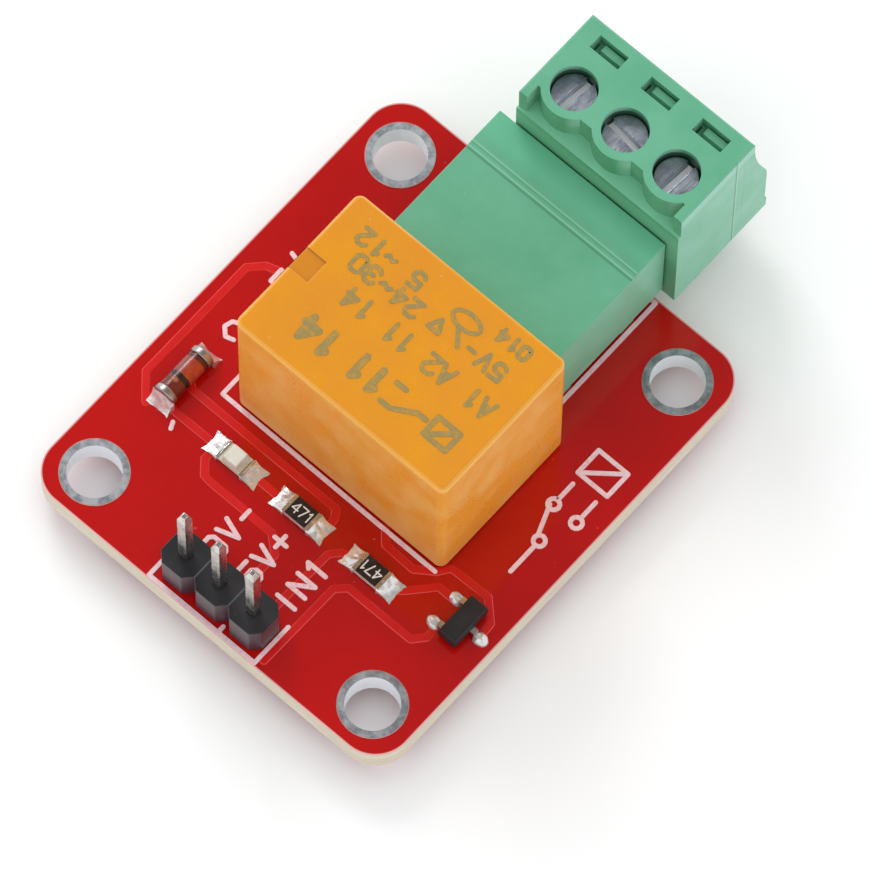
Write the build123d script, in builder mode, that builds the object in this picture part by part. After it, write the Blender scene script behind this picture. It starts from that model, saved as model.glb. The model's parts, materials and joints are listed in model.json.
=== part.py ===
from build123d import *
import math
import os

# Single-channel relay module: a red circuit board with a sealed relay, a three-pin header
# and a right-angle terminal header that carries a pluggable screw-terminal block.
# Millimetres. +X runs along the short side of the board, +Y towards the screw terminals
# and +Z up. The origin is the middle of the four mounting holes, on the board's underside.
# The module lies on the cut ends of its leads, which all reach down to one plane.

os.makedirs("parts", exist_ok=True)

# Circuit board
board_width = 26.8
board_length = 31.8
board_thickness = 1.6
board_corner_radius = 2.3
board_shift_y = 0.16
hole_spacing_x = 21.0
hole_spacing_y = 26.0
mounting_hole_diameter = 3.2
plating_thickness = 0.06
land_diameter = 4.1
land_thickness = 0.05

# Soldered leads
lead_stub = 1.4
lead_hole_clearance = 0.2
solder_overhang = 0.45
solder_height = 0.95
solder_gap = 0.1
solder_sides = 8

# Pin header
header_x = -0.1
header_y = -13.95
header_pitch = 2.54
header_pin_count = 3
header_height = 2.54
header_depth = 2.5
header_corner_cut = 0.55
header_pin_side = 0.64
header_pin_rise = 6.0
header_tip_length = 0.5
header_tip_side = 0.3

# Relay case
relay_x = 0.34
relay_y = 0.78
relay_length = 15.5
relay_width = 10.5
relay_height = 11.8
relay_wall = 0.6
relay_edge_radius = 0.5
relay_rim_cut = 0.2
relay_standoff = 0.2
relay_foot = 1.2
relay_base_thickness = 1.4
relay_base_gap = 0.05
vent_length = 1.5
vent_width = 1.6
vent_depth = 0.15
vent_shift_y = 0.02

# Relay magnet
yoke_width = 6.0
yoke_thickness = 1.0
yoke_back_gap = 0.55
core_diameter = 3.0
pole_diameter = 5.2
pole_thickness = 0.5
bobbin_length = 7.6
bobbin_yoke_gap = 0.2
bobbin_side_gap = 0.65
bobbin_flange = 0.7
bobbin_wall = 0.45
winding_inset = 0.15
core_fit = 0.05
armature_thickness = 0.75
armature_gap = 0.4
armature_seat_gap = 0.05
armature_end_gap = 1.5
spring_thickness = 0.15
spring_width = 2.0
spring_overhang = 0.8
spring_tail_drop = 3.0
spring_tail_gap = 0.1

# Relay contacts
contact_headroom = 0.1
contact_setback = 0.3
contact_diameter = 1.4
moving_contact_depth = 0.35
contact_thickness = 0.25
contact_gap = 0.65
closed_contact_clearance = 0.05
blade_thickness = 0.4
blade_width = 1.6
blade_end_gap = 1.25
blade_side_gap = 0.45
relay_pin_width = 0.8
coil_pin_side = 0.5
coil_pin_shift = 2.6
coil_pin_gap = 0.5
coil_pin_depth_in_flange = 0.4

# Terminal header
pole_pitch = 3.81
pole_count = 3
pole_shift = 7.15
terminal_left = -6.1
terminal_width = 12.4
terminal_rear_y = 7.4
terminal_depth = 9.1
terminal_height = 7.25
terminal_step = 0.1
terminal_step_setback = 2.9
terminal_ramp = 0.4
terminal_lift = 0.75
terminal_foot_side = 1.2
terminal_foot_inset = 0.15
terminal_rear_wall = 1.4
terminal_roof = 0.9
terminal_floor = 0.8
terminal_pin_width = 0.8
terminal_pin_height = 1.0
terminal_pin_setback = 0.7
terminal_pin_reach = 6.6
terminal_pin_tip = 0.25
terminal_pin_bend = 0.6

# Plug body
plug_width = 12.1
plug_height = 11.1
plug_drop = 3.85
plug_gap = 0.1
plug_depth = 6.5
plug_edge = 0.12
nose_clearance = 0.1
nose_wall = 0.85
nose_setback = 0.4
nose_tip_gap = 0.2
nose_tip_chamfer = 0.25
tower_radius = 1.9
tower_height = 2.05
screw_setback = 2.35
tower_back_setback = 1.2
ear_width = 0.6
ear_depth = 0.95
screw_hole_diameter = 2.76
screw_hole_depth = 2.3
cap_split = 5.7
latch_slot_length = 2.1
latch_slot_width = 0.95
latch_slot_setback = 1.18
roof_thickness = 1.0
sill_thickness = 1.0
plug_overhang = 7.8
sill_lip = 0.15
cap_flat_height = 3.7
cap_shoulder_rise = 1.6
cap_shoulder_setback = 0.4
cap_top_slope = 0.1

# Plug wire entries and latches
entry_width = 2.5
entry_height = 2.6
entry_mouth = 0.35
latch_tongue_thickness = 0.8
latch_clearance = 0.1
latch_nib_height = 0.5
latch_nib_shift = 0.2
latch_nib_ramp = 0.3

# Plug contacts
tail_width = 1.8
tail_thickness = 0.8
tail_rise = 0.25
fork_leaf = 0.3
fork_width = 1.2
fork_clearance = 0.02
fork_web = 0.5

# Clamps
cage_width = 3.0
cage_depth = 2.8
cage_height = 5.3
cage_wall = 0.5
cage_roof = 1.0
cage_corner_cut = 0.25
cage_rise = 2.0
chamber_clearance = 0.08
screw_diameter = 2.0
screw_head_diameter = 2.6
screw_head_height = 1.2
screw_recess = 0.9
screw_running_gap = 0.03
screw_slot_width = 0.5
screw_slot_depth = 0.6
screw_slot_angles = (83, -6, 86)

# Surface-mounted parts
chip_y = -7.2
led_x = -5.0
resistor_xs = (0.0, 5.3)
chip_length = 2.0
chip_width = 1.25
chip_height = 0.55
chip_cap_length = 0.25
chip_cap_thickness = 0.05
led_base_height = 0.3
led_lens_length = 1.2
led_lens_height = 0.55
led_lens_taper = 12
chip_pad_reach = 0.95
chip_pad_width = 1.35
solder_edge = 0.06
solder_corner_cut = 0.25
solder_sag_ratio = 0.3
diode_x = -10.45
diode_y = -5.5
diode_length = 3.5
diode_diameter = 1.5
diode_glass_diameter = 1.4
diode_cap_length = 0.45
diode_pad_reach = 0.5
transistor_x = 11.15
transistor_y = -6.1
transistor_length = 2.9
transistor_width = 1.3
transistor_height = 0.95
transistor_lift = 0.1
transistor_taper = 7
transistor_lead_width = 0.4
transistor_lead_thickness = 0.13
transistor_lead_pitch = 1.9
transistor_lead_drop = 0.2
transistor_lead_reach = 0.6
transistor_pad_reach = 0.3
smd_lift = 0.05

# Places worked out from the sizes above
board_top = board_thickness
lead_end = -lead_stub
header_xs = [header_x + header_pitch * (index - (header_pin_count - 1) / 2)
             for index in range(header_pin_count)]
header_top = board_top + header_height

relay_bottom = board_top + relay_standoff
relay_top = relay_bottom + relay_height
relay_base_top = relay_bottom + relay_base_thickness
bobbin_width = relay_width - 2 * (relay_wall + bobbin_side_gap)
yoke_start_x = relay_x - relay_length / 2 + relay_wall + yoke_back_gap
yoke_centre_x = yoke_start_x + yoke_thickness / 2
coil_x = yoke_start_x + yoke_thickness + bobbin_yoke_gap + bobbin_length / 2
coil_pin_x = coil_x - coil_pin_shift
coil_pin_y = yoke_width / 2 + coil_pin_gap
blade_x = relay_x + relay_length / 2 - relay_wall - blade_end_gap
blade_y = relay_width / 2 - relay_wall - blade_side_gap - blade_width / 2
contact_x = blade_x - contact_setback
arm_end_x = contact_x - contact_diameter / 2

closed_blade_top = relay_top - relay_wall - contact_headroom
closed_contact_bottom = closed_blade_top - 2 * contact_thickness
moving_contact_top = closed_contact_bottom - closed_contact_clearance
spring_top = moving_contact_top - moving_contact_depth
armature_top = spring_top - spring_thickness
armature_bottom = armature_top - armature_thickness
moving_contact_bottom = armature_top - moving_contact_depth
open_contact_top = moving_contact_bottom - contact_gap
yoke_top = armature_bottom - armature_seat_gap
pole_top = armature_bottom - armature_gap

terminal_right = terminal_left + terminal_width
terminal_front_y = terminal_rear_y + terminal_depth
terminal_bottom = board_top + terminal_lift
terminal_top = board_top + terminal_height
terminal_step_y = terminal_front_y - terminal_step_setback
terminal_pin_y = terminal_rear_y + terminal_pin_setback
cavity_rear_y = terminal_rear_y + terminal_rear_wall
cavity_bottom = terminal_bottom + terminal_floor
cavity_top = terminal_top - terminal_roof
terminal_pin_level = (cavity_bottom + cavity_top) / 2
pole_middle_x = terminal_left + pole_shift
pole_xs = [pole_middle_x + pole_pitch * (index - (pole_count - 1) / 2) for index in range(pole_count)]

plug_left = pole_middle_x - plug_width / 2
plug_right = plug_left + plug_width
plug_front_y = terminal_front_y + plug_gap
plug_back_y = plug_front_y + plug_depth
plug_underside = terminal_pin_level - plug_drop
plug_top = plug_underside + plug_height
ledge_level = plug_top - tower_height
screw_y = plug_front_y + screw_setback
tower_back_y = screw_y - tower_back_setback
latch_slot_y = plug_back_y - latch_slot_setback
nose_left = plug_left + nose_setback
nose_right = pole_xs[-1] + nose_wall
nose_bottom = cavity_bottom + nose_clearance
nose_top = cavity_top - nose_clearance
nose_tip_y = cavity_rear_y + nose_tip_gap
cavity_left = nose_left - nose_clearance
cavity_right = nose_right + nose_clearance
cap_front_y = plug_front_y + cap_split
cap_back_y = plug_front_y + plug_overhang
cap_bottom = plug_underside + sill_thickness
cap_top = plug_top - roof_thickness
cap_flat_top = cap_bottom + cap_flat_height

fork_gap = terminal_pin_height + 2 * fork_clearance
fork_start_y = nose_tip_y + fork_leaf
fork_end_y = terminal_pin_y + terminal_pin_reach + fork_web
tail_bottom = terminal_pin_level + tail_rise
tail_top = tail_bottom + tail_thickness
tail_end_y = screw_y + cage_depth / 2 + cage_wall
screw_head_top = plug_top - screw_recess
cage_bottom = tail_bottom - entry_height - cage_wall
cage_top = cage_bottom + cage_height
chamber_bottom = cage_bottom - chamber_clearance
chamber_top = cage_top + cage_rise + chamber_clearance
entry_middle = (cage_bottom + cage_wall + tail_bottom) / 2
chip_bottom = board_top + smd_lift

relay_pins = {
    "open": (blade_x, relay_y - blade_y),
    "closed": (blade_x, relay_y + blade_y),
    "common": (yoke_centre_x, relay_y),
    "coil_front": (coil_pin_x, relay_y - coil_pin_y),
    "coil_rear": (coil_pin_x, relay_y + coil_pin_y),
}

# Every lead that passes through the board: its place, its size along X and its size along Y
leads = [(x, header_y, header_pin_side, header_pin_side) for x in header_xs]
leads += [(x, terminal_pin_y, terminal_pin_width, terminal_pin_height) for x in pole_xs]
for pin_name, (pin_x, pin_y) in relay_pins.items():
    if pin_name.startswith("coil"):
        leads.append((pin_x, pin_y, coil_pin_side, coil_pin_side))
    else:
        leads.append((pin_x, pin_y, blade_thickness, relay_pin_width))


def lead_hole_radius(size_x, size_y):
    return math.hypot(size_x, size_y) / 2 + lead_hole_clearance


def save(piece, label):
    piece.label = label
    export_step(piece, f"parts/{label}.step")


# Circuit board: glass-fibre sheet with rounded corners, four mounting holes and the lead holes,
# which have flat sides because so many repeat under the parts
with BuildPart() as circuit_board:
    with BuildSketch():
        with Locations((0, board_shift_y)):
            RectangleRounded(board_width, board_length, board_corner_radius)
        with GridLocations(hole_spacing_x, hole_spacing_y, 2, 2):
            Circle(mounting_hole_diameter / 2 + plating_thickness, mode=Mode.SUBTRACT)
        for x, y, size_x, size_y in leads:
            with Locations((x, y)):
                RegularPolygon(lead_hole_radius(size_x, size_y), solder_sides, mode=Mode.SUBTRACT)
    extrude(amount=board_thickness)
save(circuit_board.part, "circuit_board")

# Plated linings: a tube through each mounting hole with a ring-shaped land on both faces
with BuildPart() as mounting_hole_linings:
    with BuildSketch(Plane.XY.offset(-land_thickness)):
        with GridLocations(hole_spacing_x, hole_spacing_y, 2, 2):
            Circle(mounting_hole_diameter / 2 + plating_thickness)
            Circle(mounting_hole_diameter / 2, mode=Mode.SUBTRACT)
    extrude(amount=board_thickness + 2 * land_thickness)
    for land_base in (-land_thickness, board_top):
        with BuildSketch(Plane.XY.offset(land_base)):
            with GridLocations(hole_spacing_x, hole_spacing_y, 2, 2):
                Circle(land_diameter / 2)
                Circle(mounting_hole_diameter / 2, mode=Mode.SUBTRACT)
        extrude(amount=land_thickness)
save(mounting_hole_linings.part, "mounting_hole_linings")

# Solder of the through-hole leads: it fills each hole and narrows to the lead on the underside
with BuildPart() as underside_solder:
    for x, y, size_x, size_y in leads:
        hole_radius = lead_hole_radius(size_x, size_y)
        base_radius = hole_radius + solder_overhang
        tip_radius = math.hypot(size_x, size_y) / 2 + solder_gap
        with BuildSketch():
            with Locations((x, y)):
                RegularPolygon(hole_radius, solder_sides)
        extrude(amount=board_thickness)
        with BuildSketch():
            with Locations((x, y)):
                RegularPolygon(base_radius, solder_sides)
        with BuildSketch(Plane.XY.offset(-solder_height)):
            with Locations((x, y)):
                RegularPolygon(tip_radius, solder_sides)
        loft()
    for x, y, size_x, size_y in leads:
        with Locations((x, y, lead_end)):
            Box(size_x, size_y, board_top - lead_end,
                align=(Align.CENTER, Align.CENTER, Align.MIN), mode=Mode.SUBTRACT)
save(underside_solder.part, "underside_solder")

# Pin header strip: one moulding, with its corners cut off at both sides of every pin
with BuildPart() as pin_header_strip:
    with BuildSketch(Plane.XY.offset(board_top)):
        for x in header_xs:
            with BuildSketch(mode=Mode.PRIVATE) as cell:
                with Locations((x, header_y)):
                    Rectangle(header_pitch, header_depth)
                chamfer(cell.vertices(), header_corner_cut)
            add(cell.sketch)
        for x in header_xs:
            with Locations((x, header_y)):
                Rectangle(header_pin_side, header_pin_side, mode=Mode.SUBTRACT)
    extrude(amount=header_height)
save(pin_header_strip.part, "pin_header_strip")

# Header pins: square posts with a blunt pyramid point at the top
header_tip_slope = math.degrees(math.atan((header_pin_side - header_tip_side) / 2 / header_tip_length))
for number, x in enumerate(header_xs, start=1):
    with BuildPart() as header_pin:
        with BuildSketch(Plane.XY.offset(lead_end)):
            with Locations((x, header_y)):
                Rectangle(header_pin_side, header_pin_side)
        extrude(amount=header_top + header_pin_rise - header_tip_length - lead_end)
        extrude(header_pin.faces().sort_by(Axis.Z)[-1], amount=header_tip_length, taper=header_tip_slope)
    save(header_pin.part, f"header_pin_{number}")

# Relay cover: a deep cap with rounded corners and a shallow vent recess in its top
with BuildPart() as relay_cover:
    with BuildSketch(Plane.XY.offset(relay_bottom)):
        with Locations((relay_x, relay_y)):
            RectangleRounded(relay_length, relay_width, relay_edge_radius)
    extrude(amount=relay_height)
    chamfer(relay_cover.faces().sort_by(Axis.Z)[-1].edges(), relay_rim_cut)
    with BuildSketch(Plane.XY.offset(relay_bottom)):
        with Locations((relay_x, relay_y)):
            Rectangle(relay_length - 2 * relay_wall, relay_width - 2 * relay_wall)
    extrude(amount=relay_height - relay_wall, mode=Mode.SUBTRACT)
    with Locations((relay_x - relay_length / 2, relay_y + vent_shift_y, relay_top)):
        Box(vent_length, vent_width, vent_depth,
            align=(Align.MIN, Align.CENTER, Align.MAX), mode=Mode.SUBTRACT)
save(relay_cover.part, "relay_cover")

# Relay base: the plate that closes the cover, on four small feet, with a slot for every pin
base_length = relay_length - 2 * (relay_wall + relay_base_gap)
base_width = relay_width - 2 * (relay_wall + relay_base_gap)
with BuildPart() as relay_base:
    with BuildSketch(Plane.XY.offset(relay_bottom)):
        with Locations((relay_x, relay_y)):
            Rectangle(base_length, base_width)
    extrude(amount=relay_base_thickness)
    with BuildSketch(Plane.XY.offset(board_top)):
        with Locations((relay_x, relay_y)):
            with GridLocations(base_length - relay_foot, base_width - relay_foot, 2, 2):
                Rectangle(relay_foot, relay_foot)
    extrude(amount=relay_standoff)
    for pin_name, (pin_x, pin_y) in relay_pins.items():
        slot_x = coil_pin_side if pin_name.startswith("coil") else blade_thickness
        slot_y = coil_pin_side if pin_name.startswith("coil") else relay_pin_width
        with Locations((pin_x, pin_y, board_top)):
            Box(slot_x, slot_y, relay_standoff + relay_base_thickness,
                align=(Align.CENTER, Align.CENTER, Align.MIN), mode=Mode.SUBTRACT)
save(relay_base.part, "relay_base")

# Yoke: an L of soft iron that lies under the coil and stands up behind it
with BuildPart() as relay_yoke:
    with BuildSketch(Plane.XZ.offset(-relay_y)):
        with Locations((yoke_start_x, relay_base_top)):
            Rectangle(yoke_thickness + bobbin_length, yoke_thickness, align=(Align.MIN, Align.MIN))
            Rectangle(yoke_thickness, yoke_top - relay_base_top, align=(Align.MIN, Align.MIN))
    extrude(amount=yoke_width / 2, both=True)
    with Locations((coil_x, relay_y, relay_base_top)):
        Cylinder(core_diameter / 2, yoke_thickness,
                 align=(Align.CENTER, Align.CENTER, Align.MIN), mode=Mode.SUBTRACT)
save(relay_yoke.part, "relay_yoke")

# Core: a round iron bar riveted into the yoke, with a wide pole face on top
with BuildPart() as relay_core:
    with Locations((coil_x, relay_y, relay_base_top)):
        Cylinder(core_diameter / 2, pole_top - relay_base_top,
                 align=(Align.CENTER, Align.CENTER, Align.MIN))
    with Locations((coil_x, relay_y, pole_top)):
        Cylinder(pole_diameter / 2, pole_thickness, align=(Align.CENTER, Align.CENTER, Align.MAX))
save(relay_core.part, "relay_core")

# Bobbin: a thin tube between two flanges, threaded over the core
bobbin_bottom = relay_base_top + yoke_thickness
bobbin_top = pole_top - pole_thickness
with BuildPart() as relay_bobbin:
    for flange_base in (bobbin_bottom, bobbin_top - bobbin_flange):
        with BuildSketch(Plane.XY.offset(flange_base)):
            with Locations((coil_x, relay_y)):
                Rectangle(bobbin_length, bobbin_width)
        extrude(amount=bobbin_flange)
    with Locations((coil_x, relay_y, bobbin_bottom)):
        Cylinder(core_diameter / 2 + core_fit + bobbin_wall, bobbin_top - bobbin_bottom,
                 align=(Align.CENTER, Align.CENTER, Align.MIN))
        Cylinder(core_diameter / 2 + core_fit, bobbin_top - bobbin_bottom,
                 align=(Align.CENTER, Align.CENTER, Align.MIN), mode=Mode.SUBTRACT)
    for side in (-1, 1):
        with Locations((coil_pin_x, relay_y + side * coil_pin_y, bobbin_bottom)):
            Box(coil_pin_side, coil_pin_side, coil_pin_depth_in_flange,
                align=(Align.CENTER, Align.CENTER, Align.MIN), mode=Mode.SUBTRACT)
save(relay_bobbin.part, "relay_bobbin")

# Winding: the enamelled copper wire, as one solid ring between the flanges
winding_height = bobbin_top - bobbin_bottom - 2 * bobbin_flange
with BuildPart() as relay_winding:
    with Locations((coil_x, relay_y, bobbin_bottom + bobbin_flange)):
        Cylinder(bobbin_length / 2 - winding_inset, winding_height,
                 align=(Align.CENTER, Align.CENTER, Align.MIN))
        Cylinder(core_diameter / 2 + core_fit + bobbin_wall, winding_height,
                 align=(Align.CENTER, Align.CENTER, Align.MIN), mode=Mode.SUBTRACT)
save(relay_winding.part, "relay_winding")

# Coil pins: two square wires from below the board into the lower bobbin flange
with BuildPart() as relay_coil_pins:
    for side in (-1, 1):
        with Locations((coil_pin_x, relay_y + side * coil_pin_y, lead_end)):
            Box(coil_pin_side, coil_pin_side, bobbin_bottom + coil_pin_depth_in_flange - lead_end,
                align=(Align.CENTER, Align.CENTER, Align.MIN))
save(relay_coil_pins.part, "relay_coil_pins")

# Common pin: a flat pin that ends under the yoke
with BuildPart() as relay_common_pin:
    with Locations((yoke_centre_x, relay_y, lead_end)):
        Box(blade_thickness, relay_pin_width, relay_base_top - lead_end,
            align=(Align.CENTER, Align.CENTER, Align.MIN))
save(relay_common_pin.part, "relay_common_pin")

# Armature: an iron plate that rocks on the yoke's top edge and is drawn down to the pole
with BuildPart() as relay_armature:
    with BuildSketch(Plane.XY.offset(armature_bottom)):
        with Locations((yoke_start_x, relay_y)):
            Rectangle(arm_end_x - armature_end_gap - yoke_start_x, yoke_width,
                      align=(Align.MIN, Align.CENTER))
    extrude(amount=armature_thickness)
save(relay_armature.part, "relay_armature")

# Contact spring: a bronze strip on the armature, with its contact rivet at the free end
# and a short leg that hangs down behind the yoke
spring_start_x = yoke_start_x - spring_tail_gap - spring_thickness
with BuildPart() as relay_contact_spring:
    with BuildSketch(Plane.XZ.offset(-relay_y)):
        with Locations((spring_start_x, armature_top)):
            Rectangle(contact_x + spring_overhang - spring_start_x, spring_thickness,
                      align=(Align.MIN, Align.MIN))
        with Locations((spring_start_x, spring_top)):
            Rectangle(spring_thickness, spring_top - armature_bottom + spring_tail_drop,
                      align=(Align.MIN, Align.MAX))
    extrude(amount=spring_width / 2, both=True)
    with Locations((contact_x, relay_y, moving_contact_bottom)):
        Cylinder(contact_diameter / 2, moving_contact_top - moving_contact_bottom,
                 align=(Align.CENTER, Align.CENTER, Align.MIN))
save(relay_contact_spring.part, "relay_contact_spring")

# Fixed contacts: stamped blades that rise from the base and turn in over and under the spring
arm_length = blade_x + blade_thickness / 2 - arm_end_x
fixed_contacts = (
    ("relay_open_contact", "open", -1, open_contact_top - contact_thickness, open_contact_top),
    ("relay_closed_contact", "closed", 1, closed_blade_top, closed_blade_top - contact_thickness),
)
for label, pin_name, side, blade_top, rivet_top in fixed_contacts:
    pin_x, pin_y = relay_pins[pin_name]
    with BuildPart() as fixed_contact:
        with Locations((pin_x, pin_y, lead_end)):
            Box(blade_thickness, relay_pin_width, relay_base_top - lead_end,
                align=(Align.CENTER, Align.CENTER, Align.MIN))
        with Locations((pin_x, pin_y, relay_base_top)):
            Box(blade_thickness, blade_width, blade_top - relay_base_top,
                align=(Align.CENTER, Align.CENTER, Align.MIN))
        arm_outer_y = pin_y + side * blade_width / 2
        arm_inner_y = relay_y - side * contact_diameter / 2
        with Locations((arm_end_x, (arm_outer_y + arm_inner_y) / 2, blade_top)):
            Box(arm_length, abs(arm_outer_y - arm_inner_y), contact_thickness,
                align=(Align.MIN, Align.CENTER, Align.MAX))
        with Locations((contact_x, relay_y, rivet_top)):
            Cylinder(contact_diameter / 2, contact_thickness,
                     align=(Align.CENTER, Align.CENTER, Align.MAX))
    save(fixed_contact.part, label)

# Terminal pins: each is bent once, from the board up into the rear wall and out into the cavity
terminal_pins = []
for number, x in enumerate(pole_xs, start=1):
    with BuildPart() as terminal_pin:
        with BuildSketch(Plane.YZ.offset(x)) as bent_pin:
            with Locations((terminal_pin_y, terminal_pin_level + terminal_pin_height / 2)):
                Rectangle(terminal_pin_height, terminal_pin_level + terminal_pin_height / 2 - lead_end,
                          align=(Align.CENTER, Align.MAX))
            with Locations((terminal_pin_y - terminal_pin_height / 2, terminal_pin_level)):
                Rectangle(terminal_pin_height / 2 + terminal_pin_reach, terminal_pin_height,
                          align=(Align.MIN, Align.CENTER))
            outer_bend = bent_pin.vertices().sort_by(lambda vertex: vertex.Y - vertex.X)[-1]
            fillet(outer_bend, terminal_pin_bend)
        extrude(amount=terminal_pin_width / 2, both=True)
        chamfer(terminal_pin.faces().sort_by(Axis.Y)[-1].edges(), terminal_pin_tip)
    terminal_pins.append(terminal_pin.part)
    save(terminal_pin.part, f"terminal_pin_{number}")

# Terminal header housing: a box open to +Y that sits on feet, with a faint step across its roof
with BuildPart() as terminal_header_housing:
    with BuildSketch(Plane.YZ.offset(terminal_left)):
        with BuildLine():
            Polyline(
                (terminal_rear_y, terminal_bottom),
                (terminal_front_y, terminal_bottom),
                (terminal_front_y, terminal_top),
                (terminal_step_y + terminal_ramp, terminal_top),
                (terminal_step_y, terminal_top - terminal_step),
                (terminal_rear_y, terminal_top - terminal_step),
                close=True,
            )
        make_face()
    extrude(amount=terminal_width)
    with BuildSketch(Plane.XZ.offset(-terminal_front_y)):
        with Locations(((cavity_left + cavity_right) / 2, (cavity_bottom + cavity_top) / 2)):
            Rectangle(cavity_right - cavity_left, cavity_top - cavity_bottom)
    extrude(amount=terminal_front_y - cavity_rear_y, mode=Mode.SUBTRACT)
    foot_shift = terminal_foot_inset + terminal_foot_side / 2
    with Locations((terminal_left + terminal_width / 2, terminal_rear_y, board_top)):
        Box(terminal_width - 2 * terminal_foot_inset, terminal_rear_wall, terminal_lift,
            align=(Align.CENTER, Align.MIN, Align.MIN))
    for foot_x in (terminal_left + foot_shift, terminal_right - foot_shift):
        with Locations((foot_x, terminal_step_y, board_top)):
            Box(terminal_foot_side, terminal_foot_side, terminal_lift,
                align=(Align.CENTER, Align.CENTER, Align.MIN))
    for pin in terminal_pins:
        add(pin, mode=Mode.SUBTRACT)
save(terminal_header_housing.part, "terminal_header_housing")

# Plug housing: a nose that enters the header, a body with a scalloped row of screw towers
# between two ears, and a hollow for every clamp
with BuildPart() as plug_housing:
    with BuildSketch(Plane.XY.offset(plug_underside)):
        with Locations((pole_middle_x, plug_front_y)):
            Rectangle(plug_width, cap_split, align=(Align.CENTER, Align.MIN))
    extrude(amount=ledge_level - plug_underside)
    with BuildSketch(Plane.XY.offset(ledge_level)):
        with Locations((pole_middle_x, tower_back_y)):
            Rectangle(plug_width, cap_front_y - tower_back_y, align=(Align.CENTER, Align.MIN))
        for x in pole_xs:
            with Locations((x, screw_y)):
                Circle(tower_radius)
        for ear_x in (plug_left + ear_width / 2, plug_right - ear_width / 2):
            with Locations((ear_x, tower_back_y)):
                Rectangle(ear_width, ear_depth, align=(Align.CENTER, Align.MAX))
    extrude(amount=tower_height)
    for lip_base, lip_thickness, lip_back_y in (
        (cap_top, roof_thickness, plug_back_y),
        (plug_underside, sill_thickness, cap_back_y + sill_lip),
    ):
        with BuildSketch(Plane.XY.offset(lip_base)):
            with Locations((pole_middle_x, cap_front_y)):
                Rectangle(plug_width, lip_back_y - cap_front_y, align=(Align.CENTER, Align.MIN))
        extrude(amount=lip_thickness)
    top_rim = plug_housing.faces().sort_by(Axis.Z)[-1].outer_wire().edges()
    outer_rim = top_rim.filter_by(lambda edge: edge.center().X < plug_left + plug_edge
                                  or edge.center().X > plug_right - plug_edge
                                  or edge.center().Y > plug_back_y - plug_edge)
    chamfer(outer_rim, plug_edge)
    with BuildSketch(Plane.XZ.offset(-plug_front_y)):
        with Locations(((nose_left + nose_right) / 2, (nose_bottom + nose_top) / 2)):
            Rectangle(nose_right - nose_left, nose_top - nose_bottom)
    extrude(amount=plug_front_y - nose_tip_y)
    nose_tip = plug_housing.faces().sort_by(Axis.Y)[0]
    chamfer(nose_tip.edges(), nose_tip_chamfer)
    for x in pole_xs:
        with Locations((x, screw_y, plug_top)):
            Cylinder(screw_hole_diameter / 2, screw_hole_depth,
                     align=(Align.CENTER, Align.CENTER, Align.MAX), mode=Mode.SUBTRACT)
            Cylinder(screw_diameter / 2 + chamber_clearance, plug_top - chamber_top,
                     align=(Align.CENTER, Align.CENTER, Align.MAX), mode=Mode.SUBTRACT)
        with Locations((x, screw_y, chamber_bottom)):
            Box(cage_width + 2 * chamber_clearance, cage_depth + 2 * chamber_clearance,
                chamber_top - chamber_bottom,
                align=(Align.CENTER, Align.CENTER, Align.MIN), mode=Mode.SUBTRACT)
        with Locations((x, screw_y, entry_middle)):
            Box(entry_width, cap_back_y - screw_y, entry_height,
                align=(Align.CENTER, Align.MIN, Align.CENTER), mode=Mode.SUBTRACT)
        with Locations((x, plug_front_y, tail_bottom)):
            Box(tail_width, tail_end_y - plug_front_y, tail_thickness,
                align=(Align.CENTER, Align.MIN, Align.MIN), mode=Mode.SUBTRACT)
            Box(fork_width, plug_front_y - fork_end_y, tail_thickness,
                align=(Align.CENTER, Align.MAX, Align.MIN), mode=Mode.SUBTRACT)
        with Locations((x, nose_tip_y, terminal_pin_level)):
            Box(fork_width + 2 * fork_clearance, plug_front_y - nose_tip_y,
                terminal_pin_height + 2 * (fork_leaf + 2 * fork_clearance),
                align=(Align.CENTER, Align.MIN, Align.CENTER), mode=Mode.SUBTRACT)
        with Locations((x, latch_slot_y, cap_top)):
            Box(latch_slot_length, latch_slot_width, roof_thickness,
                align=(Align.CENTER, Align.CENTER, Align.MIN), mode=Mode.SUBTRACT)
        with Locations((x, latch_slot_y - latch_slot_width / 2, cap_top)):
            Box(latch_slot_length, cap_front_y - latch_slot_y + latch_slot_width / 2,
                latch_tongue_thickness + latch_clearance,
                align=(Align.CENTER, Align.MIN, Align.MAX), mode=Mode.SUBTRACT)
save(plug_housing.part, "plug_housing")

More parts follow.
